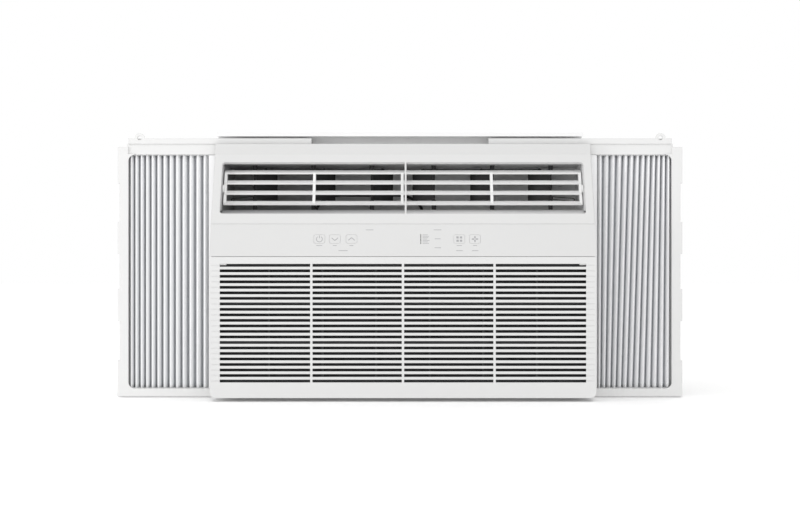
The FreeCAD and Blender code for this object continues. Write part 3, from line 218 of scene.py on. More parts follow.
class Finish:
    """A material with one Principled shader; plain numbers sit on the shader's own sockets."""

    def __init__(self, name, colour, roughness, **plain):
        self.material = bpy.data.materials.new(name)
        self.material.use_nodes = True
        self.tree = self.material.node_tree
        self.tree.nodes.clear()
        self.shader = self.node("BsdfPrincipled")
        self.end = self.node("OutputMaterial", {}, {"Surface": self.shader.wire()})
        self.colour = (*colour, 1.0)
        self.put("Base Color", self.colour)
        self.put("Roughness", roughness)
        for socket, value in plain.items():
            self.put(socket.replace("_", " ").title().replace("Ior", "IOR"), value)
        place = self.node("TexCoord").wire("Object")
        self.place = place
        split = self.node("SeparateXYZ", {}, {0: place})
        self.x, self.y, self.z = split.wire(0), split.wire(1), split.wire(2)

    def node(self, kind, settings=None, sockets=None):
        """Any node: its type, then its settings, then the values or wires of its sockets."""
        made = self.tree.nodes.new("ShaderNode" + kind)
        for name, value in (settings or {}).items():
            if name == "stops":
                ramp = made.color_ramp
                while len(ramp.elements) > 1:
                    ramp.elements.remove(ramp.elements[-1])
                for n, (spot, colour) in enumerate(value):
                    stop = ramp.elements[0] if n == 0 else ramp.elements.new(spot)
                    stop.position = spot
                    stop.color = (*colour, 1.0)
            else:
                setattr(made, name, value)
        for name, value in (sockets or {}).items():
            self.feed(made.inputs[name], value)
        return Node(self, made)

    def feed(self, socket, value):
        if isinstance(value, Wire):
            self.tree.links.new(value.socket, socket)
        else:
            socket.default_value = value

    def put(self, name, value):
        self.feed(self.shader.made.inputs[name], value)

    def noise(self, scale, detail=2.0, stretch=None, rough=0.5):
        """Noise from 0 to 1 with scale cells to the metre; stretch squeezes it along an axis."""
        place = self.place
        if stretch is not None:
            place = self.node("Mapping", {}, {"Vector": place, "Scale": stretch}).wire()
        sockets = {"Vector": place, "Scale": scale, "Detail": detail, "Roughness": rough}
        return self.node("TexNoise", {}, sockets).wire()

    def mix(self, first, second, share):
        """Colour from first to second as share goes from 0 to 1."""
        made = self.node("Mix", {"data_type": "RGBA"}, {0: share, 6: first, 7: second})
        return made.wire(2)

    def tint(self, other, share):
        """Blend the base colour towards other where share is high."""
        start = self.shader.made.inputs["Base Color"]
        first = Wire(self, start.links[0].from_socket) if start.is_linked else self.colour
        self.put("Base Color", self.mix(first, (*other, 1.0), share))

    def soft_edges(self, radius, samples=4):
        """Normals that turn smoothly over an edge, as if it were rounded by radius."""
        return self.node("Bevel", {"samples": samples}, {"Radius": radius}).wire()

    def relief(self, height, depth, normal=None):
        """Bump of the given depth in metres, on top of rounded edges if they are given."""
        sockets = {"Height": height, "Distance": depth, "Strength": 1.0}
        if normal is not None:
            sockets["Normal"] = normal
        self.put("Normal", self.node("Bump", {}, sockets).wire())


print("shader sums ready")

# %% [markdown]
# ## Floor paint
#
# The floor is plain matt white paint. Without a floor nothing would catch the machine's shadow. Paint
# takes a little light away, so a floor lit by a white world ends in a grey horizon; a faint glow
# of its own makes up for that, and the far floor fades into the world.

# %% Floor paint
floor_paint = Finish("floor_paint", (0.97, 0.97, 0.97), 0.9, specular_ior_level=0.1,
                     emission_color=(1.0, 1.0, 1.0, 1.0), emission_strength=0.07)
floor_paint.tint((0.94, 0.94, 0.94), floor_paint.noise(3.0, 3.0))
floor_paint.put("Roughness", floor_paint.noise(20.0) * 0.1 + 0.85)
floor.data.materials.append(floor_paint.material)
print("floor painted")

# %% [markdown]
# ## White moulded plastic
#
# Most of what the room sees is satin ABS. A mould leaves a fine grain of a few tenths of a
# millimetre, hardly any colour of its own, and edges rounded by half a millimetre to three. The
# engineering model has sharp edges. They could be bevelled in the mesh, but its faces are loose
# triangles with thin walls, where a bevel tears. The Bevel node turns the normals over each edge
# instead, which is what the eye reads. Two noises, one broad and faint, one fine, keep colour,
# gloss and grain from being the same all over.

# %% White plastics
def moulded(name, colour, roughness, edge, shade=(0.58, 0.58, 0.573), grain=2200.0):
    """Satin plastic: broad tone noise, gloss noise, fine grain as relief, rounded edges."""
    finish = Finish(name, colour, roughness, specular_ior_level=0.45)
    broad = finish.noise(7.0, 3.0)
    finish.tint(shade, (broad - 0.45).clamp() * 0.22)
    finish.put("Roughness", finish.noise(60.0, 2.0) * 0.10 + (roughness - 0.05))
    fine = finish.noise(grain, 2.0)
    finish.relief(fine, 0.00003, finish.soft_edges(edge))
    return finish


panel_plastic = moulded("panel_plastic", (0.65, 0.65, 0.646), 0.38, 0.0022)
fascia_plastic = moulded("fascia_plastic", (0.645, 0.645, 0.641), 0.34, 0.00015)
louvre_plastic = moulded("louvre_plastic", (0.78, 0.78, 0.775), 0.35, 0.0006)
key_plastic = moulded("key_plastic", (0.645, 0.645, 0.641), 0.32, 0.00015)
curtain_plastic = moulded("curtain_plastic", (0.75, 0.75, 0.746), 0.36, 0.0010)
strip_plastic = moulded("strip_plastic", (0.86, 0.86, 0.865), 0.40, 0.0008, shade=(0.78, 0.78, 0.785))
guard_plastic = moulded("guard_plastic", (0.76, 0.76, 0.74), 0.45, 0.0008, grain=1500.0)
print("white plastics made")

# %% [markdown]
# ## The grille's own plastic
#
# The intake grille carries faint grooves in its side margins, level with the slots, where the
# mould's inserts end. They are far too shallow for geometry, so they are relief: a fold of the
# height by the slot pitch says where a groove is, and the distance from the grille's middle
# says that it stays in the margins.

# %% Grille plastic
slot_pitch = 0.00854
grille_low, grille_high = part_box("intake_grille")
grille_middle = (grille_low[0] + grille_high[0]) / 2
grille_reach = (grille_high[0] - grille_low[0]) / 2
slots_top = grille_high[2] - 0.0132

grille_plastic = Finish("grille_plastic", (0.70, 0.70, 0.696), 0.38, specular_ior_level=0.45)
g = grille_plastic
g.tint((0.62, 0.62, 0.613), (g.noise(6.0, 3.0) - 0.45).clamp() * 0.22)
g.put("Roughness", g.noise(60.0, 2.0) * 0.10 + 0.33)
turn = (g.z * (-1.0) + slots_top) / slot_pitch + 0.5
groove = abs(turn.part() - 0.5) < 0.07
margin = abs(g.x - grille_middle) > (grille_reach - 0.0145)
inside_edge = abs(g.x - grille_middle) < (grille_reach - 0.003)
in_rows = (g.z > grille_low[2] + 0.02) * (g.z < slots_top + 0.004)
height = g.noise(2200.0, 2.0) * 0.1 - groove * margin * inside_edge * in_rows
g.relief(height, 0.0003, g.soft_edges(0.0009))
print("grooves every", slot_pitch * 1000, "mm in margins of 14.5 mm")

# %% [markdown]
# ## Dark plastics, filter and duct
#
# The outlet duct is grey foam-filled plastic, duller than the panel, and the vanes are black, as are
# the bosses that hold their pins: a fold of the width by the pins' spacing finds them. Painted
# light makes the duct's grey lighter towards its right side. The filter is a woven nylon mesh in a
# grey frame. The weave is two sets of fine ridges that cross: the larger of two sine waves is a
# thread, and where both are low there is a hole.

# %% Duct, vanes, filter
duct_plastic = Finish("duct_plastic", (0.44, 0.44, 0.445), 0.62)
# painted light: the duct's grey grows lighter towards +X, the right side of the outlet
duct_plastic.tint((0.74, 0.74, 0.74), duct_plastic.x.ease(-0.25, 0.15))
duct_plastic.tint((0.36, 0.36, 0.365), duct_plastic.noise(14.0, 3.0) * 0.35)
pivot_first, pivot_step, pivot_y, boss_reach = 0.0503, 0.095, -0.172, 0.0045
pivot = (abs(duct_plastic.x - unit_middle) - pivot_first) / pivot_step + 0.5
beside = abs(pivot.part() - 0.5) < boss_reach / pivot_step
before = abs(duct_plastic.y - pivot_y) < boss_reach
duct_plastic.tint((0.03, 0.03, 0.031), beside * before)
duct_plastic.put("Roughness", duct_plastic.noise(90.0) * 0.2 + 0.52)
duct_plastic.relief(duct_plastic.noise(900.0, 3.0), 0.00012, duct_plastic.soft_edges(0.0008))

vane_plastic = Finish("vane_plastic", (0.008, 0.008, 0.0085), 0.42)
vane_plastic.tint((0.02, 0.02, 0.021), vane_plastic.noise(120.0, 3.0) * 0.4)
vane_plastic.put("Roughness", vane_plastic.noise(200.0) * 0.16 + 0.34)
vane_plastic.relief(vane_plastic.noise(1600.0), 0.00004, vane_plastic.soft_edges(0.0005))

filter_frame = Finish("filter_frame", (0.05, 0.052, 0.055), 0.6)
filter_frame.tint((0.08, 0.08, 0.082), filter_frame.noise(30.0, 3.0) * 0.5)
filter_frame.put("Roughness", filter_frame.noise(150.0) * 0.16 + 0.5)
filter_frame.relief(filter_frame.noise(1400.0), 0.00005, filter_frame.soft_edges(0.0005))

thread = 2 * math.pi / 0.0011
filter_mesh = Finish("filter_mesh", (0.012, 0.012, 0.013), 0.7)
warp = (filter_mesh.x * thread).wave()
weft = (filter_mesh.z * thread).wave()
weave = warp.sum("MAXIMUM", weft)
filter_mesh.tint((0.03, 0.03, 0.032), weave.ease(0.2, 1.0))
filter_mesh.put("Roughness", weave.ease(0.0, 1.0) * -0.15 + 0.75)
filter_mesh.relief(weave, 0.0002)
print("thread pitch", round(2 * math.pi / thread * 1000, 2), "mm")

# %% [markdown]
# ## Painted, plated and bare metal
#
# The cabinet is powder-coated sheet: thick paint with a soft orange-peel of a millimetre or two.
# The pan and the brackets are galvanised, so zinc crystals show as flat patches that each
# shine a little differently; Voronoi cells are just such patches. Screws are bright zinc, and
# tubes are copper, which dulls to brown in clouds.

# %% Metals and paints
def painted(name, colour, roughness, peel=500.0, depth=0.00012, edge=0.0010):
    """Sprayed or powder coat: broad tone, gloss clouds, orange-peel relief, rounded edges."""
    finish = Finish(name, colour, roughness, specular_ior_level=0.5)
    dark = tuple(c * 0.86 for c in colour)
    finish.tint(dark, (finish.noise(9.0, 3.0) - 0.4).clamp() * 0.4)
    finish.put("Roughness", finish.noise(45.0, 3.0) * 0.16 + (roughness - 0.08))
    finish.relief(finish.noise(peel, 2.0), depth, finish.soft_edges(edge))
    return finish


def plated(name, colour, roughness, cell, dull, edge=0.0004):
    """Zinc plate: Voronoi crystals, each with its own tone and gloss."""
    finish = Finish(name, colour, roughness, metallic=1.0)
    crystal = finish.node("TexVoronoi", {}, {"Vector": finish.place, "Scale": cell})
    tone = finish.node("SeparateColor", {}, {0: crystal.wire("Color")}).wire(0)
    finish.tint(dull, tone * 0.6)
    finish.put("Roughness", tone * 0.22 + (roughness - 0.06))
    finish.relief(finish.noise(700.0, 3.0), 0.00004, finish.soft_edges(edge))
    return finish


def bare(name, colour, stain, roughness, stretch=None, clouds=25.0):
    """Bare metal: clouds of stain and fine drawn lines."""
    finish = Finish(name, colour, roughness, metallic=1.0)
    finish.tint(stain, (finish.noise(clouds, 4.0) - 0.35).clamp() * 1.1)
    lines = finish.noise(1500.0, 2.0, stretch or (1.0, 1.0, 1.0))
    finish.put("Roughness", lines * 0.16 + (roughness - 0.06))
    finish.relief(lines, 0.00003)
    return finish


rail_steel = painted("rail_steel", (0.84, 0.84, 0.84), 0.42, 700.0, 0.00006, 0.0006)
cabinet_paint = painted("cabinet_paint", (0.74, 0.74, 0.72), 0.46, 420.0, 0.00016, 0.0012)
motor_paint = painted("motor_paint", (0.06, 0.062, 0.065), 0.5)
compressor_paint = painted("compressor_paint", (0.015, 0.015, 0.016), 0.36)
galvanised_steel = plated("galvanised_steel", (0.66, 0.67, 0.69), 0.42, 95.0, (0.48, 0.49, 0.51))
zinc_screw = plated("zinc_screw", (0.74, 0.74, 0.73), 0.32, 900.0, (0.60, 0.59, 0.55), 0.0003)
ground_steel = bare("ground_steel", (0.60, 0.60, 0.62), (0.42, 0.41, 0.40), 0.26, (1.0, 0.05, 1.0))
capacitor_can = bare("capacitor_can", (0.72, 0.72, 0.73), (0.55, 0.55, 0.56), 0.32, (1.0, 1.0, 0.08))
copper = bare("copper", (0.72, 0.34, 0.20), (0.35, 0.17, 0.10), 0.34)
fin_aluminium = bare("fin_aluminium", (0.74, 0.75, 0.76), (0.55, 0.56, 0.57), 0.36, (1.0, 1.0, 0.2), 12.0)
print("metals made")

# %% [markdown]
# ## Rubber, boards and foam
#
# The last finishes are inside and only show when a door or a panel is open: black rubber with a
# bloom of grey, green solder resist with fine tracks under it, and beaded foam, whose beads are
# Voronoi cells a few millimetres wide.

# %% Hidden finishes
black_rubber = Finish("black_rubber", (0.018, 0.018, 0.018), 0.7)
black_rubber.tint((0.06, 0.06, 0.06), (black_rubber.noise(80.0, 4.0) - 0.45).clamp())
black_rubber.put("Roughness", black_rubber.noise(140.0) * 0.2 + 0.6)
black_rubber.relief(black_rubber.noise(1200.0), 0.00005, black_rubber.soft_edges(0.0008))

circuit_board = Finish("circuit_board", (0.02, 0.10, 0.045), 0.35)
tracks = ((circuit_board.x * 900.0).wave() * (circuit_board.z * 700.0).wave()) > 0.55
circuit_board.tint((0.05, 0.20, 0.09), tracks * 0.8)
circuit_board.put("Roughness", circuit_board.noise(100.0) * 0.1 + 0.3)
circuit_board.relief(tracks * 1.0, 0.00004)

foam_tray = Finish("foam_tray", (0.80, 0.80, 0.78), 0.75)
bead = foam_tray.node("TexVoronoi", {}, {"Vector": foam_tray.place, "Scale": 300.0}).wire("Distance")
foam_tray.tint((0.66, 0.66, 0.64), bead.clamp() * 0.6)
foam_tray.put("Roughness", bead.clamp() * 0.15 + 0.68)
foam_tray.relief(bead * -1.0, 0.0005, foam_tray.soft_edges(0.001))

fan_plastic = Finish("fan_plastic", (0.03, 0.03, 0.032), 0.5)
fan_plastic.tint((0.07, 0.07, 0.072), fan_plastic.noise(40.0, 3.0) * 0.5)
fan_plastic.put("Roughness", fan_plastic.noise(120.0) * 0.16 + 0.42)
fan_plastic.relief(fan_plastic.noise(1200.0), 0.00005, fan_plastic.soft_edges(0.0008))
print("hidden finishes made")

# %% [markdown]
# ## Vinyl for the side curtains
#
# The folded side curtains are thin vinyl, a cooler white than the panel and duller. Little light
# reaches the bottom of a fold, so painted shade darkens the colour with the depth along Y.
# The sheet was drawn upright through rollers, so its faint streaks and ripples run up it: the
# noises are squeezed along Z.

# %% Vinyl
bellows_vinyl = Finish("bellows_vinyl", (0.90, 0.903, 0.91), 0.46, specular_ior_level=0.4)
v = bellows_vinyl
fold_low, fold_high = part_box("bellows_left")
fold_depth = (v.y - fold_low[1]) / (fold_high[1] - fold_low[1])
# painted shade: the colour darkens towards the back of the sheet, at the bottom of each fold
v.tint((0.27, 0.285, 0.31), fold_depth.ease(0.25, 1.0) * 0.9)
v.tint((0.78, 0.79, 0.81), (v.noise(30.0, 3.0, (1.0, 1.0, 0.15)) - 0.45).clamp() * 0.3)
v.put("Roughness", v.noise(70.0, 3.0, (1.0, 1.0, 0.2)) * 0.2 + 0.36)
v.relief(v.noise(240.0, 3.0, (1.0, 1.0, 0.1)), 0.00008)
print("vinyl made")

# %% [markdown]
# ## Give every engineering piece its finish
#
# The record names a finish for each piece. A piece keeps its own mesh, since its shape is already
# right, and only the material in its slot changes.

# %% Finishes by slot
finishes = {
    "panel_plastic": panel_plastic, "fascia_plastic": fascia_plastic, "grille_plastic": grille_plastic,
    "louvre_plastic": louvre_plastic, "key_plastic": key_plastic, "curtain_plastic": curtain_plastic,
    "strip_plastic": strip_plastic, "guard_plastic": guard_plastic, "duct_plastic": duct_plastic,
    "vane_plastic": vane_plastic, "filter_frame": filter_frame, "filter_mesh": filter_mesh,
    "rail_steel": rail_steel, "cabinet_paint": cabinet_paint, "motor_paint": motor_paint,
    "compressor_paint": compressor_paint, "galvanised_steel": galvanised_steel,
    "zinc_screw": zinc_screw, "ground_steel": ground_steel, "capacitor_can": capacitor_can,
    "copper": copper, "fin_aluminium": fin_aluminium, "black_rubber": black_rubber,
    "circuit_board": circuit_board, "foam_tray": foam_tray, "fan_plastic": fan_plastic,
    "bellows_vinyl": bellows_vinyl,
}
slot_of = {part["node"]: part["material_slot"] for part in frame["record"]["subparts"]}
for name, piece in nodes.items():
    piece.data.materials.clear()
    piece.data.materials.append(finishes[slot_of[name]].material)
print("dressed", len(nodes), "pieces with", len(set(slot_of.values())), "finishes")

# %% [markdown]
# ## Surfaces from grids of points
#
# A new piece here is a function of two parameters, worked out for all its points at once with
# numpy: row after row of points, joined into four-sided faces. Where a surface closes on itself,
# the last column joins the first; where it ends in a pole, a fan of triangles closes it.

# %% Grid faces and piece maker
def grid_faces(rows, columns, around=False):
    """Faces between neighbouring rows and columns of a grid; around joins the last column to the first."""
    row = np.arange(rows - 1)[:, None]
    column = np.arange(columns if around else columns - 1)[None, :]
    after = (column + 1) % columns
    faces = np.stack([row * columns + column, row * columns + after,
                      (row + 1) * columns + after, (row + 1) * columns + column], axis=-1)
    return faces.reshape(-1, 4)


def make_piece(name, points, faces, finish, smooth=True):
    """A mesh object at the origin, with its place in its points."""
    mesh = bpy.data.meshes.new(name)
    mesh.from_pydata(np.asarray(points, float).reshape(-1, 3).tolist(), [], [tuple(f) for f in faces])
    mesh.polygons.foreach_set("use_smooth", [smooth] * len(mesh.polygons))
    mesh.materials.append(finish.material)
    mesh.update()
    piece = bpy.data.objects.new(name, mesh)
    bpy.context.scene.collection.objects.link(piece)
    return piece


def thicken(piece, thickness, offset=0.0):
    """A wall of the given thickness from a single skin."""
    wall = piece.modifiers.new("wall", "SOLIDIFY")
    wall.thickness = thickness
    wall.offset = offset
    wall.use_even_offset = False


print("a 3 x 4 grid has", len(grid_faces(3, 4)), "faces")

# %% [markdown]
# ## Pleated side curtains
#
# Each side curtain is one thin sheet of white vinyl, folded like a fan. One end is held by a strip
# on the cabinet and the other by the sliding frame, and the folds open as the frame is drawn
# out. Cloth simulation would make soft ripples, but vinyl creases sharply and keeps its creases,
# so the fold is a formula: a sine squared off into a zigzag. Real folds are never equal: they
# open wider at one end of the sheet than at the other, and where the wide end changes from foot to
# head the folds between them lean.

# %% Pleats
def pleat_points(inner, outer, low, high, front, depth, count, rows, crowd_low, crowd_high):
    """Two parameters: u across the curtain, v up it.

    x goes from inner to outer, u + b u (1 - u), where b is how much wider the folds are at the
    inner end than at the outer one; b goes evenly from crowd_low at the foot to crowd_high at the
    head, so the folds between lean. y swings between front and front + depth along a rounded
    zigzag, arcsin(k sin) / arcsin(k), and both ends of the sheet lie at the back.
    """
    per_fold = 20
    u = np.linspace(0.0, 1.0, count * per_fold + 1)[None, :]
    v = np.linspace(0.0, 1.0, rows)[:, None]
    sharp = 0.985
    fold = np.arcsin(sharp * np.cos(u * count * 2 * math.pi)) / math.asin(sharp)
    uneven = 0.97 + 0.03 * np.sin(u * 23.0)
    crowd = crowd_low + (crowd_high - crowd_low) * v
    x = inner + (outer - inner) * (u + crowd * u * (1.0 - u))
    y = front + depth * (1.0 - uneven * (0.5 - 0.5 * fold)) + 0.0 * v
    z = low + (high - low) * v + 0.0 * u
    x, y, z = np.broadcast_arrays(x, y, z)
    return np.stack([x, y, z], axis=-1)


def unfolded_width(points):
    """Length of the sheet's middle row, which is what it was cut to before folding."""
    row = points[points.shape[0] // 2]
    return float(np.sqrt((np.diff(row, axis=0) ** 2).sum(axis=1)).sum())


curtains = {}
for word, side, crowd in (("left", -1, (0.21, 0.21)), ("right", 1, (-0.16, 0.22))):
    low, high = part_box("bellows_" + word)
    near, far = (high[0], low[0]) if side < 0 else (low[0], high[0])
    points = pleat_points(near, far, low[2], high[2], low[1] + 0.0006,
                          high[1] - low[1] - 0.0012, 13, 60, *crowd)
    faces = grid_faces(points.shape[0], points.shape[1])
    if side < 0:
        faces = faces[:, ::-1]
    curtain = make_piece("pleats_" + word, points, faces, bellows_vinyl)
    thicken(curtain, 0.0007)
    width = unfolded_width(points)
    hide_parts("bellows_" + word)
    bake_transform(curtain)
    curtains[word] = curtain
    print("pleats", word, "cut", round(width * 1000), "mm wide for a gap of", round(abs(far - near) * 1000))

# %% [markdown]
# ## Screw heads
#
# The cabinet and the strips are held by equal pan-head screws. The engineering model has plain
# round heads; a real one is domed, with a cross pressed into it. One head is a surface of two
# parameters, the distance from its axis and the angle round it, and its height is a dome minus a
# cross-shaped pocket. The same points, turned and moved, make every head in one mesh.

# %% Cross-head screws
def head_points(radius, height):
    """Rows go from the axis out to the rim and down the side; columns go round.

    Height is a dome, falling with the square of the distance, less a pocket where the distance to
    either of two crossed lines is small, which fades towards the rim.
    """
    ring = np.array([0.04, 0.14, 0.24, 0.34, 0.44, 0.54, 0.66, 0.80, 0.92, 1.0])[:, None] * radius
    angle = np.linspace(0.0, 2 * math.pi, 48, endpoint=False)[None, :]
    a, b = ring * np.cos(angle), ring * np.sin(angle)
    dome = height * (1.0 - 0.45 * (ring / radius) ** 2.6)
    line = np.minimum(np.abs(a), np.abs(b))
    pocket = np.clip(1.0 - line / (0.15 * radius), 0.0, 1.0) ** 0.4
    reach = np.clip((0.58 * radius - ring) / (0.12 * radius), 0.0, 1.0)
    top = np.stack([a, b, dome - 0.55 * height * pocket * reach], axis=-1)
    foot = top[-1:].copy()
    foot[..., 2] = 0.0
    return np.concatenate([top, foot])


def head_places(corners, reach):
    """Middle and size of each plain head, whose corners all lie within reach of each other."""
    found = []
    while len(corners):
        near = np.linalg.norm(corners - corners[0], axis=1) < reach
        low, high = corners[near].min(axis=0), corners[near].max(axis=0)
        found.append(((high + low) / 2, high - low))
        corners = corners[~near]
    return found


def placed_head(head, middle, size, spin):
    """The head's points and its pole, on the seat of a plain head, with the thin way of that head
    as axis and the cross turned by spin."""
    axis = int(np.argmin(size))
    out = np.zeros(3)
    out[axis] = 1.0 if (axis == 2 or middle[0] > unit_middle) else -1.0
    across = np.array([0.0, 1.0, 0.0])
    third = np.cross(out, across)
    first = across * math.cos(spin) + third * math.sin(spin)
    second = np.cross(out, first)
    seat = middle - out * size[axis] / 2
    flat = head.reshape(-1, 3)
    placed = seat + flat[:, :1] * first + flat[:, 1:2] * second + flat[:, 2:] * out
    pole = seat + out * (head_height * pole_share)
    return np.concatenate([placed, pole[None, :]])


def head_faces(rows, columns):
    """Faces of one head: the grid, a fan round the pole and the flat underside."""
    pole, base = rows * columns, (rows - 1) * columns
    faces = [tuple(f) for f in grid_faces(rows, columns, around=True)]
    faces += [((c + 1) % columns, c, pole) for c in range(columns)]
    faces.append(tuple(base + c for c in range(columns)))
    return faces


head_radius, head_height = 0.004, 0.002
head_reach = 0.012             # corners of one head are nearer to each other than this
turn_step = 0.7                # radians from one head's cross to the next
pole_share = 0.45              # height of the pole, at the bottom of the cross
mesh = nodes["sheet_screws"].data
corners = np.zeros(len(mesh.vertices) * 3)
mesh.vertices.foreach_get("co", corners)
places = head_places(corners.reshape(-1, 3), head_reach)
head = head_points(head_radius, head_height)
rows, columns = head.shape[:2]
one_head = rows * columns + 1
points = [placed_head(head, middle, size, turn_step * n) for n, (middle, size) in enumerate(places)]
faces = [tuple(i + n * one_head for i in f) for n in range(len(places)) for f in head_faces(rows, columns)]
screws = make_piece("cross_head_screws", np.concatenate(points), faces, zinc_screw)
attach(screws, "root")
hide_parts("sheet_screws")
print("screw heads:", len(places))

# %% [markdown]
# ## Dense cooling fins
#
# The condenser behind the rear guard is a stack of aluminium sheets, each a tenth of a millimetre
# thick and under two millimetres apart, so close that it reads as a fine vertical grain. The
# engineering model has a few thick ones. Hundreds of thin boxes cost only six faces each, so
# the real spacing is affordable: one box's eight corners, shifted along X.

# %% Fin stacks
def fin_stack(name, node, pitch, thickness):
    """Boxes from the node's lowest to its highest corner, evenly along X."""
    low, high = (np.array(c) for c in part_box(node))
    count = int((high[0] - low[0]) / pitch)
    starts = low[0] + (np.arange(count) + 0.5) * (high[0] - low[0]) / count - thickness / 2
    unit = np.array([[x, y, z] for z in (0, 1) for y in (0, 1) for x in (0, 1)], float)
    size = np.array([thickness, high[1] - low[1], high[2] - low[2]])
    base = np.array([0.0, low[1], low[2]])
    moves = np.stack([starts, 0 * starts, 0 * starts], axis=-1)
    points = (unit * size + base)[None, :, :] + moves[:, None, :]
    box_faces = np.array([(0, 2, 3, 1), (4, 5, 7, 6), (0, 1, 5, 4),
                          (2, 6, 7, 3), (0, 4, 6, 2), (1, 3, 7, 5)])
    faces = (box_faces[None, :, :] + (np.arange(count) * 8)[:, None, None]).reshape(-1, 4)
    stack = make_piece(name, points, faces, fin_aluminium, smooth=False)
    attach(stack, "root")
    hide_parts(node)
    print(name, count, "fins")


fin_pitch, fin_thickness = 0.0019, 0.00025
fin_stack("condenser_fins", "condenser_coil", fin_pitch, fin_thickness)
fin_stack("evaporator_fins", "evaporator_coil", fin_pitch, fin_thickness)

# %% [markdown]
# ## Seal round the blower's outlet
#
# At the back of the duct a black rubber lip follows the rounded top of the blower's outlet. It is
# a band of one section carried along a path: at each point of the path the section is set
# across the path's direction, and the two ends are closed with one face each.

# %% Outlet seal
def band_points(path, width, thickness, back):
    """Rows follow the path of (x, z); four columns are the section's corners, width across the
    path in the plane of the wall and thickness before the wall."""
    path = np.asarray(path, float)
    way = np.gradient(path, axis=0)
    way /= np.linalg.norm(way, axis=1)[:, None]
    across = np.stack([-way[:, 1], way[:, 0]], axis=1) * width / 2
    rows = []
    for sign, depth in ((-1, 0.0), (-1, -thickness), (1, -thickness), (1, 0.0)):
        edge = path + sign * across
        rows.append(np.stack([edge[:, 0], np.full(len(edge), back + depth), edge[:, 1]], axis=1))
    return np.stack(rows, axis=1)


def arch_path(left, right, low, high, corner, steps=12):
    """Up from (left, low), round a quarter ellipse, along at height high, round and down to the right."""
    turn = np.linspace(0.0, math.pi / 2, steps)
    rise = high - low
    first = np.stack([left + corner * (1 - np.cos(turn)), low + rise * np.sin(turn)], axis=1)
    last = np.stack([right - corner * (1 - np.sin(turn)), low + rise * np.cos(turn)], axis=1)
    middle = np.linspace(first[-1], last[0], 10)[1:-1]
    return np.concatenate([first, middle, last])


duct_wall = 0.0021             # the duct's back wall, with a tenth of a millimetre of air
wall_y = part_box("discharge_duct")[1][1] - duct_wall
seal_width, seal_thickness = 0.0045, 0.003
seal_path = arch_path(left=-0.143, right=0.038, low=0.3005, high=0.331, corner=0.044)
seal_points = band_points(seal_path, seal_width, seal_thickness, wall_y)
rows, columns = seal_points.shape[:2]
seal_faces = [tuple(f) for f in grid_faces(rows, columns, around=True)]
seal_faces += [(3, 2, 1, 0), tuple(range((rows - 1) * columns, rows * columns))]
seal = make_piece("outlet_seal", seal_points, seal_faces, black_rubber, smooth=False)
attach(seal, "root")
print("seal of", rows, "sections, from x", seal_path[0][0], "to", round(seal_path[-1][0], 3))

# %% [markdown]
# ## Printed marks
#
# The control strip has small grey marks: one on each key and short words beside the lamps. Marks
# could be an image, but a thin skin of ink a twentieth of a millimetre thick stays sharp and
# rides on its key when the key is pressed. Words are left as short bars, because a bar reads as a
# word at this size and says nothing. Each mark is a polar or square grid laid on the slanted strip.

# %% Ink and the strip's slant
ink = Finish("print_ink", (0.34, 0.34, 0.35), 0.5)
ink.tint((0.42, 0.42, 0.43), ink.noise(900.0, 2.0) * 0.6)
ink.put("Roughness", ink.noise(500.0) * 0.2 + 0.4)
ink.relief(ink.noise(3000.0), 0.00001)

strip_low, strip_lean, strip_rise = np.array([0.0, -0.282, 0.2256]), 0.016, 0.0504
slant = math.atan2(strip_lean, strip_rise)
strip_up = np.array([0.0, math.sin(slant), math.cos(slant)])
strip_out = np.array([0.0, -math.cos(slant), math.sin(slant)])


def on_strip(x, z, lift=0.00004):
    """The point of the strip's face at distance x from the unit's middle and height z."""
    along = (z - strip_low[2]) / strip_up[2]
    return np.array([unit_middle + x, 0.0, 0.0]) + strip_low + along * strip_up + lift * strip_out


def lay(flat, middle):
    """Turn flat (right, up) pairs into points on the strip round middle."""
    flat = np.asarray(flat, float)
    return middle + flat[..., :1] * np.array([1.0, 0.0, 0.0]) + flat[..., 1:] * strip_up


def arc(radius, width, start, end, steps=32):
    """Ring piece: radius - width/2 to radius + width/2, from angle start to end in degrees."""
    angle = np.radians(np.linspace(start, end, steps))[None, :]
    ring = np.array([radius + width / 2, radius - width / 2])[:, None]
    return np.stack([ring * np.cos(angle), ring * np.sin(angle)], axis=-1)


def bar(x0, y0, x1, y1, width):
    """Straight stroke of the given width from one point to another."""
    way = np.array([x1 - x0, y1 - y0])
    side = np.array([-way[1], way[0]]) / np.hypot(*way) * width / 2
    first, last = np.array([x0, y0]), np.array([x1, y1])
    return np.array([[first + side, last + side], [first - side, last - side]])


def print_marks(name, marks, body):
    """One mesh from several grids of strip points, with a thin wall of ink."""
    points, faces, start = [], [], 0
    for grid in marks:
        rows, columns = grid.shape[:2]
        points.append(grid.reshape(-1, 3))
        block = grid_faces(rows, columns) + start
        first = grid.reshape(-1, 3)[block[0] - start]
        normal = np.cross(first[1] - first[0], first[2] - first[1])
        faces += [tuple(f) for f in (block if normal @ strip_out > 0 else block[:, ::-1])]
        start += rows * columns
    piece = make_piece(name, np.concatenate(points), faces, ink, smooth=False)
    thicken(piece, 0.00004, 1.0)
    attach(piece, body)
    return piece


print("strip leans back", round(math.degrees(slant), 1), "degrees")

# %% Marks on the keys
def power_mark():
    return [arc(0.0046, 0.0010, 125.0, 415.0), bar(0.0, 0.0014, 0.0, 0.0060, 0.0010)]


def arrow_mark(way):
    return [bar(-0.0050, -0.0020 * way, 0.0, 0.0024 * way, 0.0012),
            bar(0.0050, -0.0020 * way, 0.0, 0.0024 * way, 0.0012)]


def mode_mark():
    """Two rows of two small squares."""
    return [bar(x - 0.0018, z, x + 0.0018, z, 0.0034) for x in (-0.0027, 0.0027) for z in (-0.0027, 0.0027)]


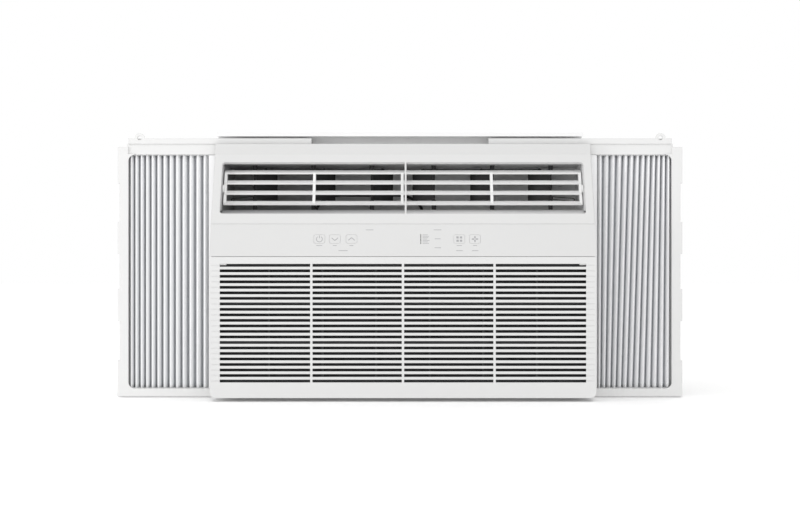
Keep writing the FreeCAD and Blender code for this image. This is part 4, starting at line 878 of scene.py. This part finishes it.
def fan_mark():
    """Four petals, each an ellipse from near the middle outwards."""
    petals = []
    share = np.linspace(0.0, 1.0, 14)[None, :]
    for turn in np.radians([0.0, 90.0, 180.0, 270.0]):
        along = 0.0007 + 0.0045 * share
        half = 0.0013 * np.sin(math.pi * np.clip(share, 0.03, 0.97)) ** 0.7
        a = np.concatenate([along, along])
        b = np.concatenate([half, -half])
        petals.append(np.stack([a * math.cos(turn) - b * math.sin(turn),
                                a * math.sin(turn) + b * math.cos(turn)], axis=-1))
    return petals


key_line = 0.2526
key_x = {"power": -0.130, "temp_down": -0.106, "temp_up": -0.080, "mode": 0.0876, "fan": 0.112}
key_marks = {"power": power_mark(), "temp_down": arrow_mark(-1), "temp_up": arrow_mark(1),
             "mode": mode_mark(), "fan": fan_mark()}
for word, marks in key_marks.items():
    middle = on_strip(key_x[word], key_line)
    print_marks("mark_" + word, [lay(m, middle) for m in marks], "key_" + word)
print("marks on", len(key_marks), "keys")

# %% Small words and lamp labels
label_line, foot_line, head_line = 0.2425, 0.2345, 0.267
lamp_labels_x, side_labels_x = 0.0305, 0.054
lamp_pitch = 0.0023
word_stroke, lamp_stroke = 0.0009, 0.0008
word_bars = [(key_x["power"], label_line, 0.009), (key_x["temp_down"], label_line, 0.006),
             (key_x["temp_up"], label_line, 0.006), (key_x["mode"], label_line, 0.008),
             (key_x["fan"], label_line, 0.006), (-0.052, head_line, 0.012), (-0.093, foot_line, 0.014),
             (key_x["mode"], foot_line, 0.010), (key_x["fan"], foot_line, 0.010)]
side_bars = [(side_labels_x, head_line, 0.012), (side_labels_x, 0.253, 0.009), (side_labels_x, 0.239, 0.010)]
lamp_lengths = (0.010, 0.008, 0.011, 0.007, 0.009, 0.010, 0.008)


def word_bar(x, z, length):
    """A bar with its middle at x and height z on the strip."""
    return lay(bar(-length / 2, 0.0, length / 2, 0.0, word_stroke), on_strip(x, z))


words = [word_bar(*place) for place in word_bars]
for n, length in enumerate(lamp_lengths):
    z = key_line + (n - 3) * lamp_pitch * math.cos(slant)
    words.append(lay(bar(0.0, 0.0, length, 0.0, lamp_stroke), on_strip(lamp_labels_x, z)))
words += [word_bar(*place) for place in side_bars]
print_marks("strip_words", words, "root")
print("bars for words:", len(words))

# %% [markdown]
# ## Bring the scene up to date
#
# The view layer is brought up to date.

# %% End
bpy.context.view_layer.update()
